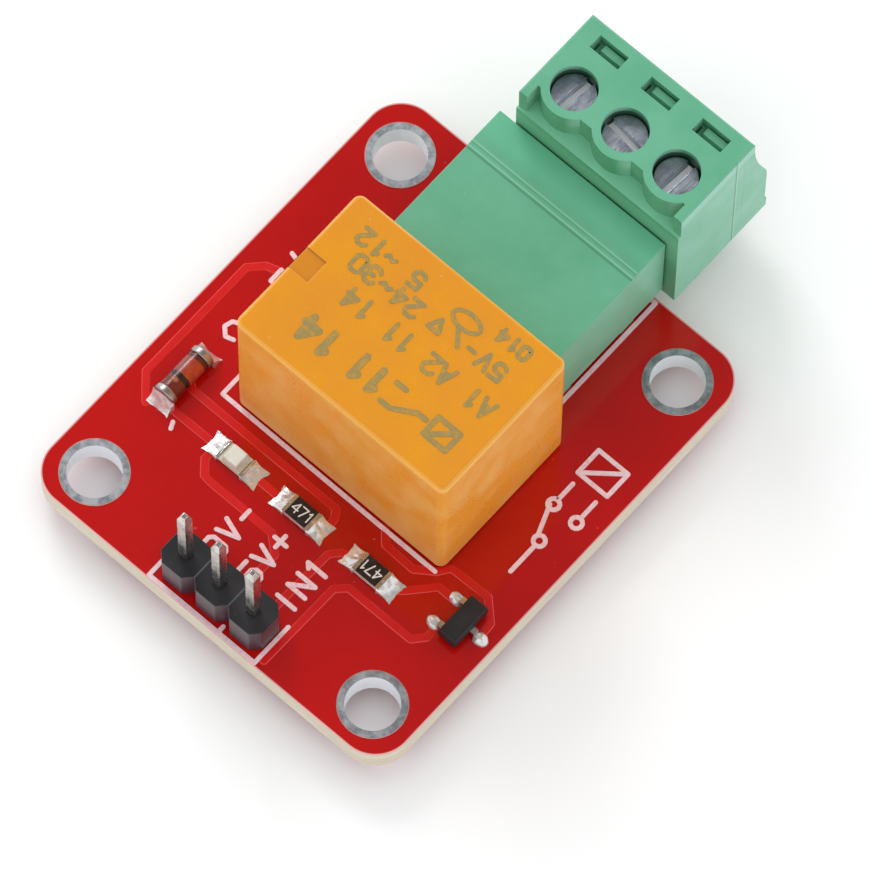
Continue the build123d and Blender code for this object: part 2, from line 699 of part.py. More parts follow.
# Plug end cap: the bulging wire face, which snaps into the body with one tongue for each pole,
# each with a nib whose ramp leads into the body's slot
nib_front_y = latch_slot_y - latch_slot_width / 2 + latch_clearance
nib_back_y = latch_slot_y + latch_slot_width / 2 - latch_clearance
with BuildPart() as plug_end_cap:
    with BuildSketch(Plane.YZ.offset(plug_left)):
        with BuildLine():
            Polyline(
                (cap_front_y, cap_top),
                (cap_front_y, cap_bottom),
                (cap_back_y - plug_edge, cap_bottom),
                (cap_back_y, cap_bottom + plug_edge),
                (cap_back_y, cap_flat_top),
            )
            Spline(
                (cap_back_y, cap_flat_top),
                (cap_back_y - cap_shoulder_setback, cap_flat_top + cap_shoulder_rise),
                (plug_back_y, cap_top),
                tangents=((0, 1), (-cap_top_slope, 1)),
            )
            Line((plug_back_y, cap_top), (cap_front_y, cap_top))
        make_face()
    extrude(amount=plug_width)
    for x in pole_xs:
        with BuildSketch(Plane.XZ.offset(-cap_back_y)):
            with Locations((x, entry_middle)):
                Rectangle(entry_width, entry_height)
        extrude(amount=cap_back_y - cap_front_y, mode=Mode.SUBTRACT)
        with Locations((x, cap_front_y, cap_top)):
            Box(latch_slot_length - 2 * latch_clearance, cap_front_y - latch_slot_y + latch_slot_width / 2
                - latch_clearance, latch_tongue_thickness, align=(Align.CENTER, Align.MAX, Align.MAX))
        with BuildSketch(Plane.YZ.offset(x + latch_nib_shift)):
            with BuildLine():
                Polyline(
                    (nib_front_y, cap_top),
                    (nib_back_y, cap_top),
                    (nib_back_y, cap_top + latch_nib_height),
                    (nib_front_y + latch_nib_ramp, cap_top + latch_nib_height),
                    close=True,
                )
            make_face()
        extrude(amount=latch_slot_length / 2 - latch_clearance - latch_nib_shift, both=True)
    mouths = plug_end_cap.faces().sort_by(Axis.Y)[-1].inner_wires()
    chamfer([edge for mouth in mouths for edge in mouth.edges()], entry_mouth)
save(plug_end_cap.part, "plug_end_cap")

# Plug contacts: a fork of two leaves over the header pin, and a flat tail through the clamp
for number, x in enumerate(pole_xs, start=1):
    with BuildPart() as plug_contact:
        with BuildSketch(Plane.YZ.offset(x)):
            with Locations((fork_start_y, terminal_pin_level)):
                Rectangle(fork_end_y - fork_start_y, fork_gap + 2 * fork_leaf,
                          align=(Align.MIN, Align.CENTER))
            with Locations((fork_end_y - fork_web, terminal_pin_level)):
                Rectangle(fork_end_y - fork_web - fork_start_y, fork_gap,
                          align=(Align.MAX, Align.CENTER), mode=Mode.SUBTRACT)
        extrude(amount=fork_width / 2, both=True)
        with Locations((x, fork_end_y, tail_bottom)):
            Box(fork_width, plug_front_y - fork_end_y, tail_thickness,
                align=(Align.CENTER, Align.MIN, Align.MIN))
        with Locations((x, plug_front_y, tail_bottom)):
            Box(tail_width, tail_end_y - plug_front_y, tail_thickness,
                align=(Align.CENTER, Align.MIN, Align.MIN))
    save(plug_contact.part, f"plug_contact_{number}")

# Clamp cages: plated sleeves that the screws draw up, so that the wire is pressed to the tail
for number, x in enumerate(pole_xs, start=1):
    with BuildPart() as clamp_cage:
        with Locations((x, screw_y, cage_bottom)):
            Box(cage_width, cage_depth, cage_height, align=(Align.CENTER, Align.CENTER, Align.MIN))
        chamfer(clamp_cage.edges().filter_by(Axis.Y), cage_corner_cut)
        with Locations((x, screw_y, cage_bottom + cage_wall)):
            Box(cage_width - 2 * cage_wall, cage_depth, cage_height - cage_wall - cage_roof,
                align=(Align.CENTER, Align.CENTER, Align.MIN), mode=Mode.SUBTRACT)
        with Locations((x, screw_y, cage_top)):
            Cylinder(screw_diameter / 2 + screw_running_gap, cage_roof,
                     align=(Align.CENTER, Align.CENTER, Align.MAX), mode=Mode.SUBTRACT)
    save(clamp_cage.part, f"clamp_cage_{number}")

# Clamp screws: slotted cheese heads sunk in the towers, each slot left at its own angle
for number, (x, slot_angle) in enumerate(zip(pole_xs, screw_slot_angles), start=1):
    with BuildPart() as clamp_screw:
        with Locations((x, screw_y, screw_head_top)):
            Cylinder(screw_head_diameter / 2, screw_head_height,
                     align=(Align.CENTER, Align.CENTER, Align.MAX))
            Cylinder(screw_diameter / 2, screw_head_top - tail_top - screw_running_gap,
                     align=(Align.CENTER, Align.CENTER, Align.MAX))
            Box(2 * screw_head_diameter, screw_slot_width, screw_slot_depth, rotation=(0, 0, slot_angle),
                align=(Align.CENTER, Align.CENTER, Align.MAX), mode=Mode.SUBTRACT)
    save(clamp_screw.part, f"clamp_screw_{number}")


# Chip parts: ends plated over the top and underside, with the bare body between them
def chip_terminals(x, height):
    with BuildPart() as terminals:
        with Locations((x, chip_y, chip_bottom)):
            Box(chip_length, chip_width, height, align=(Align.CENTER, Align.CENTER, Align.MIN))
            Box(chip_length - 2 * chip_cap_length, chip_width, height,
                align=(Align.CENTER, Align.CENTER, Align.MIN), mode=Mode.SUBTRACT)
        with Locations((x, chip_y, chip_bottom + chip_cap_thickness)):
            Box(chip_length - 2 * chip_cap_thickness, chip_width, height - 2 * chip_cap_thickness,
                align=(Align.CENTER, Align.CENTER, Align.MIN), mode=Mode.SUBTRACT)
    return terminals.part


def chip_body(x, height):
    with BuildPart() as body:
        with Locations((x, chip_y, chip_bottom + chip_cap_thickness)):
            Box(chip_length - 2 * chip_cap_thickness, chip_width, height - 2 * chip_cap_thickness,
                align=(Align.CENTER, Align.CENTER, Align.MIN))
            Box(chip_length - 2 * chip_cap_length, chip_width, height - chip_cap_thickness,
                align=(Align.CENTER, Align.CENTER, Align.MIN))
    return body.part


for number, x in enumerate(resistor_xs, start=1):
    save(chip_body(x, chip_height), f"resistor_{number}_body")
    save(chip_terminals(x, chip_height), f"resistor_{number}_terminals")

# Indicator light: a chip base that carries a clear moulded lens with sloping sides
save(chip_body(led_x, led_base_height), "led_base")
save(chip_terminals(led_x, led_base_height), "led_terminals")
with BuildPart() as led_lens:
    with BuildSketch(Plane.XY.offset(chip_bottom + led_base_height)):
        with Locations((led_x, chip_y)):
            Rectangle(led_lens_length, chip_width)
    extrude(amount=led_lens_height, taper=led_lens_taper)
save(led_lens.part, "led_lens")

# Glass diode: a glass tube along Y with a metal cap on each end
diode_axis = Plane(origin=(diode_x, diode_y, chip_bottom + diode_diameter / 2), z_dir=(0, 1, 0))
with BuildPart() as diode_glass:
    with BuildSketch(diode_axis):
        Circle(diode_glass_diameter / 2)
    extrude(amount=diode_length / 2 - diode_cap_length, both=True)
save(diode_glass.part, "diode_glass")
with BuildPart() as diode_end_caps:
    for side in (-1, 1):
        with BuildSketch(diode_axis.offset(side * (diode_length / 2 - diode_cap_length))):
            Circle(diode_diameter / 2)
        extrude(amount=side * diode_cap_length)
save(diode_end_caps.part, "diode_end_caps")

# Transistor: a small body with sloping sides, two bent leads on one side and one on the other
transistor_middle = transistor_lift + transistor_height / 2
with BuildPart() as transistor_body:
    with BuildSketch(Plane.XY.offset(board_top + transistor_middle)):
        with Locations((transistor_x, transistor_y)):
            Rectangle(transistor_width, transistor_length)
    extrude(amount=transistor_height / 2, taper=transistor_taper, both=True)
save(transistor_body.part, "transistor_body")

transistor_leads_at = (
    (-1, transistor_y - transistor_lead_pitch / 2),
    (-1, transistor_y + transistor_lead_pitch / 2),
    (1, transistor_y),
)
lead_top = transistor_middle + transistor_lead_thickness / 2
drop_outside = transistor_lead_drop + transistor_lead_thickness
with BuildPart() as transistor_leads:
    for side, y in transistor_leads_at:
        lead_plane = Plane(origin=(transistor_x + side * transistor_width / 2, y, board_top),
                           x_dir=(side, 0, 0), z_dir=(0, -side, 0))
        with BuildSketch(lead_plane):
            with BuildLine():
                Polyline(
                    (0, lead_top - transistor_lead_thickness),
                    (0, lead_top),
                    (drop_outside, lead_top),
                    (drop_outside, smd_lift + transistor_lead_thickness),
                    (transistor_lead_reach, smd_lift + transistor_lead_thickness),
                    (transistor_lead_reach, smd_lift),
                    (transistor_lead_drop, smd_lift),
                    (transistor_lead_drop, lead_top - transistor_lead_thickness),
                    close=True,
                )
            make_face()
        extrude(amount=transistor_lead_width / 2, both=True)
save(transistor_leads.part, "transistor_leads")


# Solder of the surface-mounted parts: a thin bed under each end that rises as a hollow fillet
def solder_fillet(x, y, direction, height, reach, width, bed):
    side_plane = Plane(origin=(x, y, board_top), x_dir=direction,
                       z_dir=(direction[1], -direction[0], 0))
    with BuildPart() as joint:
        with BuildSketch(side_plane):
            with BuildLine():
                Polyline((0, height), (0, smd_lift), (-bed, smd_lift), (-bed, 0), (reach, 0),
                         (reach, solder_edge))
                sag_point = (reach * solder_sag_ratio, height * solder_sag_ratio + solder_edge)
                ThreePointArc((reach, solder_edge), sag_point, (0, height))
            make_face()
        extrude(amount=width / 2, both=True)
        upright_edges = joint.edges().filter_by(Axis.Z)
        toe_edges = upright_edges.sort_by(lambda edge: side_plane.to_local_coords(edge.center()).X)[-2:]
        chamfer(toe_edges, min(solder_corner_cut, width / 3, reach / 2))
    return joint.part


solder_joints = []
for x, height in [(led_x, led_base_height)] + [(x, chip_height) for x in resistor_xs]:
    for side in (-1, 1):
        solder_joints.append(solder_fillet(x + side * chip_length / 2, chip_y, (side, 0), height,
                                           chip_pad_reach, chip_pad_width, chip_cap_length))
for side in (-1, 1):
    solder_joints.append(solder_fillet(diode_x, diode_y + side * diode_length / 2, (0, side),
                                       diode_diameter / 2, diode_pad_reach, diode_diameter,
                                       diode_cap_length))
for side, y in transistor_leads_at:
    toe_x = transistor_x + side * (transistor_width / 2 + transistor_lead_reach)
    solder_joints.append(solder_fillet(toe_x, y, (side, 0), smd_lift + transistor_lead_thickness,
                                       transistor_pad_reach, 2 * transistor_lead_width,
                                       transistor_lead_reach - transistor_lead_drop))
with BuildPart() as surface_solder:
    for joint in solder_joints:
        add(joint)
save(surface_solder.part, "surface_solder")
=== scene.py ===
import json
import math

import bmesh
import bpy
from mathutils import Matrix, Vector
from mathutils.noise import noise as ripple


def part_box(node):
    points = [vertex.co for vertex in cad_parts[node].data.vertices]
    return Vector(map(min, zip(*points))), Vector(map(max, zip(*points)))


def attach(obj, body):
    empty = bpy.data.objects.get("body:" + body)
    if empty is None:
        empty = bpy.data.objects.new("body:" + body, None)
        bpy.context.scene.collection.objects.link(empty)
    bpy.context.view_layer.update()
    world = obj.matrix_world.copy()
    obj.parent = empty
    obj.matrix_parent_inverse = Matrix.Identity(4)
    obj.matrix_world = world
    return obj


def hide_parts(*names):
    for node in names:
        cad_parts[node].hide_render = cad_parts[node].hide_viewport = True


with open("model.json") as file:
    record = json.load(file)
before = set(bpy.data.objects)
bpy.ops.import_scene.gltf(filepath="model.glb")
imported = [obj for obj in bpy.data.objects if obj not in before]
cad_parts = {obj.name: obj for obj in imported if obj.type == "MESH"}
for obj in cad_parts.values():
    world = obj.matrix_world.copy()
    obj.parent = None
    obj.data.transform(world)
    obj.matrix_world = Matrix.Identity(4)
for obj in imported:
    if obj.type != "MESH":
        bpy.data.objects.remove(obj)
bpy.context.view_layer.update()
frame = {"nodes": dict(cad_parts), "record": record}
bodyOf = {node: body for body, nodes in frame["record"]["behaviour"]["bodies"].items() for node in nodes}

# Shapes are drawn in millimetres and shrunk to metres when a piece is finished
mm = 0.001


def boxOf(node):
    low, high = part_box(node)
    return low / mm, high / mm


boardLow, boardHigh = boxOf("circuit_board")
relayLow, relayHigh = boxOf("relay_cover")
plugLow, plugHigh = boxOf("plug_housing")
boardTop = boardHigh.z
leadEnd = boxOf("header_pin_1")[0].z


def addNode(tree, kind, inputs=None, **settings):
    made = tree.nodes.new(kind)
    for key, value in settings.items():
        setattr(made, key, value)
    for key, value in (inputs or {}).items():
        if isinstance(value, bpy.types.NodeSocket):
            tree.links.new(value, made.inputs[key])
        else:
            made.inputs[key].default_value = value
    return made


def outOf(tree, kind, inputs=None, **settings):
    # The first output of a new node
    return addNode(tree, kind, inputs, **settings).outputs[0]


def calc(tree, operation, *values):
    return outOf(tree, "ShaderNodeMath", dict(enumerate(values)), operation=operation)


def paint(red, green, blue):
    levels = [level / 255 for level in (red, green, blue)]
    return (*[level / 12.92 if level < 0.04 else ((level + 0.055) / 1.055) ** 2.4 for level in levels], 1.0)


def mixColours(tree, amount, first, second):
    return addNode(tree, "ShaderNodeMix", {0: amount, 6: first, 7: second}, data_type="RGBA").outputs[2]


def remap(tree, value, low, high, toLow=0.0, toHigh=1.0):
    return outOf(tree, "ShaderNodeMapRange", {0: value, 1: low, 2: high, 3: toLow, 4: toHigh})


# Nearly all of a noise field lies within the first span, and the second makes clearer patches of it
fieldSpan, patchSpan = (0.3, 0.7), (0.35, 0.65)


def vary(tree, field, least, most):
    # A value that follows a noise field
    return remap(tree, field, *fieldSpan, least, most)


def blend(tree, field, first, second, span=patchSpan):
    # From one colour to the other as a field climbs through a span
    return mixColours(tree, remap(tree, field, *span), first, second)


def fade(tree, value, start, end, most=1.0):
    # Climbs to its full strength between two places in millimetres
    return remap(tree, value, start * mm, end * mm, 0.0, most)


def noise(tree, place, scale, detail=2.0, roughness=0.5):
    return outOf(tree, "ShaderNodeTexNoise", {"Vector": place, "Scale": scale, "Detail": detail,
                                              "Roughness": roughness})


def stretched(tree, place, factors):
    return outOf(tree, "ShaderNodeVectorMath", {0: place, 1: factors}, operation="MULTIPLY")


def split(tree, vector):
    return addNode(tree, "ShaderNodeSeparateXYZ", {0: vector}).outputs


def facings(tree):
    # The surface's own direction, split into X, Y and Z
    return split(tree, addNode(tree, "ShaderNodeNewGeometry").outputs["Normal"])


def apart(tree, value, at):
    # How far a value is from a place in millimetres, to either side
    return calc(tree, "ABSOLUTE", calc(tree, "SUBTRACT", value, at * mm))


def lengthOf(tree, x, y):
    flat = outOf(tree, "ShaderNodeCombineXYZ", {0: x, 1: y})
    return addNode(tree, "ShaderNodeVectorMath", {0: flat}, operation="LENGTH").outputs["Value"]


# Effects that several finishes share
skinLabels = ("Colour", "Cloud Colour", "Cloud Scale", "Grain Scale", "Roughness")


def startGroup(name):
    # A place, two colours, two scales and a roughness give a colour, a roughness and a small relief
    group = bpy.data.node_groups.new(name, "ShaderNodeTree")
    for label, kind in (("Colour", "Color"), ("Roughness", "Float"), ("Height", "Float")):
        group.interface.new_socket(label, in_out="OUTPUT", socket_type="NodeSocket" + kind)
    for label, kind in zip(("Place", *skinLabels), ("Vector", "Color", "Color", "Float", "Float", "Float")):
        group.interface.new_socket(label, in_out="INPUT", socket_type="NodeSocket" + kind)
    return group, group.nodes.new("NodeGroupInput").outputs


def endGroup(group, colour, roughness, height):
    addNode(group, "NodeGroupOutput", {"Colour": colour, "Roughness": roughness, "Height": height})
    return group


def makeMouldedSkin():
    # Soft clouds of a second colour, a fine spark-eroded grain and a few pale dust specks
    look = {"dust": paint(214, 210, 204), "dustSpan": (0.78, 0.84), "dustStrength": 0.25, "dustShare": 0.35,
            "cloudSpan": (0.35, 0.7), "rubbed": 0.25, "relief": 1.5}
    group, given = startGroup("mouldedSkin")
    place, grainScale = given["Place"], given["Grain Scale"]
    cloud = noise(group, place, given["Cloud Scale"], 4.0, 0.6)
    grain = noise(group, place, grainScale)
    specks = noise(group, place, calc(group, "MULTIPLY", grainScale, look["dustShare"]), 1.0)
    dusty = remap(group, specks, *look["dustSpan"], 0.0, look["dustStrength"])
    tinted = blend(group, cloud, given["Colour"], given["Cloud Colour"], look["cloudSpan"])
    rubbed = calc(group, "MULTIPLY_ADD", calc(group, "SUBTRACT", cloud, 0.5), look["rubbed"],
                  given["Roughness"])
    return endGroup(group, mixColours(group, dusty, tinted, look["dust"]),
                    calc(group, "ADD", rubbed, vary(group, grain, -0.04, 0.06)),
                    calc(group, "ADD", grain, calc(group, "MULTIPLY", cloud, look["relief"])))


def makePlatedMetal():
    # Streaks along the drawing direction, tarnish in patches and fine pits
    look = {"drawn": (1.0, 1.0, 0.12), "pitShare": 1.7, "patchSpan": (0.42, 0.68),
            "dulling": 0.22, "pitDepth": 0.3}
    group, given = startGroup("platedMetal")
    place, grainScale = given["Place"], given["Grain Scale"]
    patches = noise(group, place, given["Cloud Scale"], 5.0, 0.65)
    streaks = noise(group, stretched(group, place, look["drawn"]), grainScale, 3.0)
    pits = noise(group, place, calc(group, "MULTIPLY", grainScale, look["pitShare"]), 1.0)
    tarnish = calc(group, "MULTIPLY", remap(group, patches, *look["patchSpan"]),
                   remap(group, streaks, 0.2, 0.8, 0.5, 1.0))
    dulled = calc(group, "ADD", given["Roughness"], calc(group, "MULTIPLY", tarnish, look["dulling"]))
    return endGroup(group, mixColours(group, tarnish, given["Colour"], given["Cloud Colour"]),
                    calc(group, "ADD", dulled, vary(group, streaks, -0.03, 0.05)),
                    calc(group, "ADD", calc(group, "ADD", streaks, patches),
                         calc(group, "MULTIPLY", pits, look["pitDepth"])))


mouldedSkin, platedMetal = makeMouldedSkin(), makePlatedMetal()


def newFinish(name, **sockets):
    material = bpy.data.materials.new(name)
    material.use_nodes = True
    tree = material.node_tree
    shader = tree.nodes["Principled BSDF"]
    for label, value in sockets.items():
        shader.inputs[label.replace("_", " ")].default_value = value
    return material, tree, shader, addNode(tree, "ShaderNodeTexCoord").outputs["Object"]


def dress(tree, shader, colour, roughness, height, depth):
    # What changes over a surface: its colour, its roughness and its small relief
    bump = outOf(tree, "ShaderNodeBump", {"Height": height, "Distance": depth, "Strength": 1.0})
    tree.links.new(colour, shader.inputs["Base Color"])
    tree.links.new(roughness, shader.inputs["Roughness"])
    tree.links.new(bump, shader.inputs["Normal"])


def addSkin(tree, group, place, *values):
    return addNode(tree, "ShaderNodeGroup", {"Place": place, **dict(zip(skinLabels, values))},
                   node_tree=group).outputs


def skinFinish(name, group, look, **sockets):
    material, tree, shader, place = newFinish(name, **sockets)
    *values, depth = look
    skin = addSkin(tree, group, place, *values)
    dress(tree, shader, skin["Colour"], skin["Roughness"], skin["Height"], depth)
    return material


# Colour, cloud colour, cloud scale, grain scale, roughness, bump depth
plasticLooks = {
    "darkBase": (paint(46, 34, 24), paint(60, 46, 34), 400, 9000, 0.5, 6e-6),
    "whiteBobbin": (paint(222, 216, 200), paint(206, 198, 178), 500, 9000, 0.45, 6e-6),
    "ledPlastic": (paint(216, 212, 192), paint(198, 198, 176), 1500, 12000, 0.42, 4e-6),
    "transistorEpoxy": (paint(26, 27, 30), paint(40, 40, 44), 900, 14000, 0.42, 8e-6),
}
metalLooks = {
    "tinnedPin": (paint(214, 212, 208), paint(150, 140, 128), 1600, 5200, 0.2, 7e-6),
    "dullCap": (paint(186, 184, 182), paint(128, 124, 120), 1600, 5200, 0.3, 1.2e-5),
    "jointSolder": (paint(226, 226, 224), paint(176, 174, 170), 900, 2600, 0.14, 1.2e-5),
    "softIron": (paint(150, 150, 152), paint(112, 108, 104), 900, 6000, 0.38, 6e-6),
    "springBronze": (paint(206, 160, 96), paint(168, 122, 70), 900, 6000, 0.26, 5e-6),
    "copperWire": (paint(196, 108, 62), paint(150, 72, 40), 800, 9000, 0.3, 2e-5),
    "clampSteel": (paint(198, 200, 204), paint(146, 148, 152), 900, 6000, 0.28, 7e-6),
    "chipTerminal": (paint(214, 214, 212), paint(168, 166, 160), 2600, 7000, 0.2, 7e-6),
}
solderLook = (paint(238, 240, 240), paint(204, 204, 202), 1500, 2200, 0.15, 3.5e-5)
finishes = {name: skinFinish(name, mouldedSkin, look) for name, look in plasticLooks.items()}
for name, look in metalLooks.items():
    finishes[name] = skinFinish(name, platedMetal, look, Metallic=1.0)
finishes["brightSolder"] = skinFinish("brightSolder", platedMetal, solderLook, Metallic=0.62)

# A band keeps its full strength up to this share of its half width
solidShare = 0.7


def addBands(tree, colour, spot, bands):
    # Bands of another colour, each across one axis: axis, place, half width, tint, strength
    for axis, at, half, tint, strength in bands:
        faded = fade(tree, apart(tree, spot[axis], at), half, half * solidShare, strength)
        colour = mixColours(tree, faded, colour, tint)
    return colour


def makeMouldingFinish(name, look, bands, wellShade=None):
    # A moulding whose top and sides differ by painted light: a paler painted sheen on its right-hand side and
    # another tone on its front (painted shade on the green, painted sheen on the black), with bands of
    # painted highlight and shade and the lines moulded into it
    material, tree, shader, place = newFinish(name)
    skin = addSkin(tree, mouldedSkin, place, look["top"], look["cloud"], 260.0, 9000.0, look["roughness"])
    spot, facing = split(tree, place), facings(tree)
    # Painted sheen in patches on the right-hand side, and the front's painted tone, mixed in by which way a
    # face points
    paintedReflectionHaze = remap(tree, noise(tree, place, 420, 3.0), *patchSpan)
    right = mixColours(tree, paintedReflectionHaze, look["right"], look["rightSheenHaze"])
    right = addBands(tree, right, spot, bands.get("right", ()))
    front = mixColours(tree, remap(tree, paintedReflectionHaze, 0.0, 1.0, 0.0, 0.3), look["front"], look["right"])
    front = addBands(tree, front, spot, bands.get("front", ()))
    paintedLightSides = blend(tree, facing[0], front, right, (0.4, 0.7))
    if wellShade:
        # Painted shade: round the screws the wells are painted dark, where shade falls in them
        beyond = [calc(tree, "SUBTRACT", apart(tree, spot[axis], wellShade["middle"][axis]),
                       wellShade["reach"][axis] * mm) for axis in (0, 1)]
        inside = fade(tree, calc(tree, "MAXIMUM", *beyond), 0.0, -wellShade["soft"], wellShade["strength"])
        paintedLightSides = addBands(tree, paintedLightSides, spot, [(2, wellShade["at"], wellShade["half"], wellShade["tint"], inside)])
    top = addBands(tree, skin["Colour"], spot, bands.get("top", ()))
    colour = blend(tree, facing[2], paintedLightSides, top, (0.3, 0.8))
    dress(tree, shader, colour, skin["Roughness"], skin["Height"], 5e-6)
    return material


def makeLandFinish():
    # Mottled tin on the flat ring, its hole's wall painted near-white as a painted reflection, with a thin
    # warm line where the mask begins
    look = {"tin": paint(196, 200, 206), "worn": paint(138, 144, 152), "wornSpan": (0.4, 0.62),
            "wall": paint(246, 250, 255), "outline": paint(214, 150, 136), "hole": (10.5, 13.0),
            "outer": 2.05, "lineWidth": 0.07, "lineStrength": 0.7}
    material, tree, shader, place = newFinish("tinnedLand")
    spot = split(tree, place)
    aside = [calc(tree, "SUBTRACT", calc(tree, "ABSOLUTE", spot[axis]), look["hole"][axis] * mm)
             for axis in (0, 1)]
    level = remap(tree, calc(tree, "ABSOLUTE", facings(tree)[2]), 0.3, 0.7)
    mottle = noise(tree, place, 1500, 4.0, 0.65)
    lineFrom = look["outer"] - look["lineWidth"]
    lined = fade(tree, lengthOf(tree, *aside), lineFrom, lineFrom + look["lineWidth"] / 2,
                 look["lineStrength"])
    tin = mixColours(tree, lined, blend(tree, mottle, look["tin"], look["worn"], look["wornSpan"]),
                     look["outline"])
    tree.links.new(remap(tree, level, 0.0, 1.0, 0.15, 0.75), shader.inputs["Metallic"])
    # Painted reflection: the hole's upright wall is painted near-white
    colour = mixColours(tree, level, look["wall"], tin)
    dress(tree, shader, colour, vary(tree, mottle, 0.36, 0.5), mottle, 1.5e-5)
    return material


def makeBoardFinish():
    # Red mask on both faces with a pale painted highlight along its outline, and pale glass-fibre layers
    # where the board was cut
    look = {"mask": paint(187, 10, 7), "maskDeep": paint(175, 7, 5), "speck": paint(220, 90, 80),
            "speckSpan": (0.78, 0.82), "speckStrength": 0.6, "laminate": paint(222, 214, 196),
            "layer": paint(206, 193, 170), "fibres": (180.0, 180.0, 9000.0), "maskDepth": 0.022,
            "rim": paint(232, 186, 186), "highlightRimWidth": 0.11, "highlightRimStrength": 0.85, "corner": 2.3}
    material, tree, shader, place = newFinish("maskedLaminate")
    spot, depth = split(tree, place), look["maskDepth"]
    middle, half = (boardLow + boardHigh) / 2, (boardHigh - boardLow) / 2
    beyond = [calc(tree, "MAXIMUM", calc(tree, "SUBTRACT", apart(tree, spot[axis], middle[axis]),
                                         (half[axis] - look["corner"]) * mm), 0.0) for axis in (0, 1)]
    # Painted highlight: a thin pale line along the board's outline, where its edge catches the light
    highlightRimFrom = look["corner"] - look["highlightRimWidth"]
    rim = fade(tree, lengthOf(tree, *beyond), highlightRimFrom, highlightRimFrom + look["highlightRimWidth"] / 2, look["highlightRimStrength"])
    masked = calc(tree, "MAXIMUM", fade(tree, spot[2], boardTop - depth, boardTop - depth / 2),
                  fade(tree, spot[2], depth, depth / 2))
    red = blend(tree, noise(tree, place, 90, 4.0, 0.6), look["mask"], look["maskDeep"])
    specks = remap(tree, noise(tree, place, 2600, 1.0), *look["speckSpan"], 0.0, look["speckStrength"])
    red = mixColours(tree, rim, mixColours(tree, specks, red, look["speck"]), look["rim"])
    layers = noise(tree, stretched(tree, place, look["fibres"]), 1.0, 3.0)
    cut = blend(tree, layers, look["laminate"], look["layer"])
    peel = calc(tree, "ADD", noise(tree, place, 700), calc(tree, "MULTIPLY", layers, 2.0))
    dress(tree, shader, mixColours(tree, masked, cut, red), remap(tree, masked, 0.0, 1.0, 0.72, 0.1),
          peel, 3e-6)
    return material


def makeTraceFinish():
    # Mask over copper: brighter, with a thin pale line where the trace's shoulder catches the light
    look = {"flat": paint(212, 24, 24), "deep": paint(198, 16, 15), "shoulder": paint(222, 64, 56)}
    material, tree, shader, place = newFinish("maskedCopper")
    level = calc(tree, "ABSOLUTE", facings(tree)[2])
    red = blend(tree, noise(tree, place, 260, 3.0), look["flat"], look["deep"])
    dress(tree, shader, blend(tree, level, look["shoulder"], red, (0.7, 0.95)),
          vary(tree, noise(tree, place, 1200), 0.13, 0.2), noise(tree, place, 900), 3e-6)
    return material


def makeInkFinish(name, ink, worn, speckScale, roughness):
    # Screened or marked ink, thinner and more worn in small specks
    material, tree, shader, place = newFinish(name)
    thin = remap(tree, noise(tree, place, speckScale, 3.0, 0.7), 0.46, 0.7)
    dress(tree, shader, mixColours(tree, thin, ink, worn),
          remap(tree, thin, 0.0, 1.0, roughness, roughness + 0.15), noise(tree, place, speckScale * 2), 4e-6)
    return material


def makeRelayFinish():
    # Amber case: clear enough for light to spread in it. Its sides are painted paler as a painted sheen, with
    # cloudy patches of painted glint; its rounded top edge carries a painted highlight and its vent's recess
    # painted shade
    look = {"top": paint(222, 146, 10), "cloud": paint(216, 138, 14), "side": paint(236, 156, 50),
            "paintedGlint": paint(238, 180, 96), "paintedGlintSpan": (0.4, 0.72), "edge": paint(244, 190, 96),
            "vent": paint(206, 130, 12), "ventEdge": paint(140, 84, 20), "ventEnd": -5.0, "ventMiddle": 0.8,
            "ventHalf": 0.84}
    material, tree, shader, place = newFinish("amberCase", Subsurface_Weight=0.12, Subsurface_Scale=0.0012,
                                              Specular_IOR_Level=0.35)
    skin = addSkin(tree, mouldedSkin, place, look["top"], look["cloud"], 300.0, 7000.0, 0.32)
    spot, roof = split(tree, place), relayHigh.z
    # Painted sheen: below the top the sides take a paler colour, in patches of painted glint
    down = fade(tree, spot[2], roof - 0.2, roof - 0.7)
    sheenedFlank = blend(tree, noise(tree, place, 330, 4.0, 0.62), look["side"], look["paintedGlint"], look["paintedGlintSpan"])
    level = remap(tree, facings(tree)[2], 0.4, 0.9)
    # Painted shade in the vent's recess, darkest on its walls, and a painted highlight on the top's rounded
    # edge
    sunk = fade(tree, spot[2], roof - 0.03, roof - 0.08)
    aside = apart(tree, spot[1], look["ventMiddle"])
    inVent = calc(tree, "MULTIPLY", fade(tree, spot[0], look["ventEnd"], look["ventEnd"] - 0.1),
                  fade(tree, aside, look["ventHalf"], look["ventHalf"] - 0.02))
    shadedRecess = mixColours(tree, level, look["ventEdge"], look["vent"])
    top = mixColours(tree, level, look["edge"], skin["Colour"])
    top = mixColours(tree, calc(tree, "MULTIPLY", sunk, inVent), top, shadedRecess)
    dress(tree, shader, mixColours(tree, down, top, sheenedFlank), skin["Roughness"], skin["Height"], 6e-6)
    return material


def makeResistorFinish():
    # Black film on top of a white ceramic chip
    look = {"film": paint(24, 24, 26), "filmWorn": paint(44, 42, 42), "ceramic": paint(226, 214, 208),
            "ceramicShade": paint(200, 184, 178), "cloudSpan": (0.4, 0.7), "filmDepth": 0.06}
    material, tree, shader, place = newFinish("filmOnCeramic")
    filmFrom = boxOf("resistor_1_body")[1].z - look["filmDepth"]
    filmed = fade(tree, split(tree, place)[2], filmFrom, filmFrom + 0.01)
    cloud = noise(tree, place, 3200, 3.0)
    film = blend(tree, cloud, look["film"], look["filmWorn"], look["cloudSpan"])
    chip = blend(tree, cloud, look["ceramic"], look["ceramicShade"], look["cloudSpan"])
    dress(tree, shader, mixColours(tree, filmed, chip, film), vary(tree, cloud, 0.3, 0.45), cloud, 6e-6)
    return material


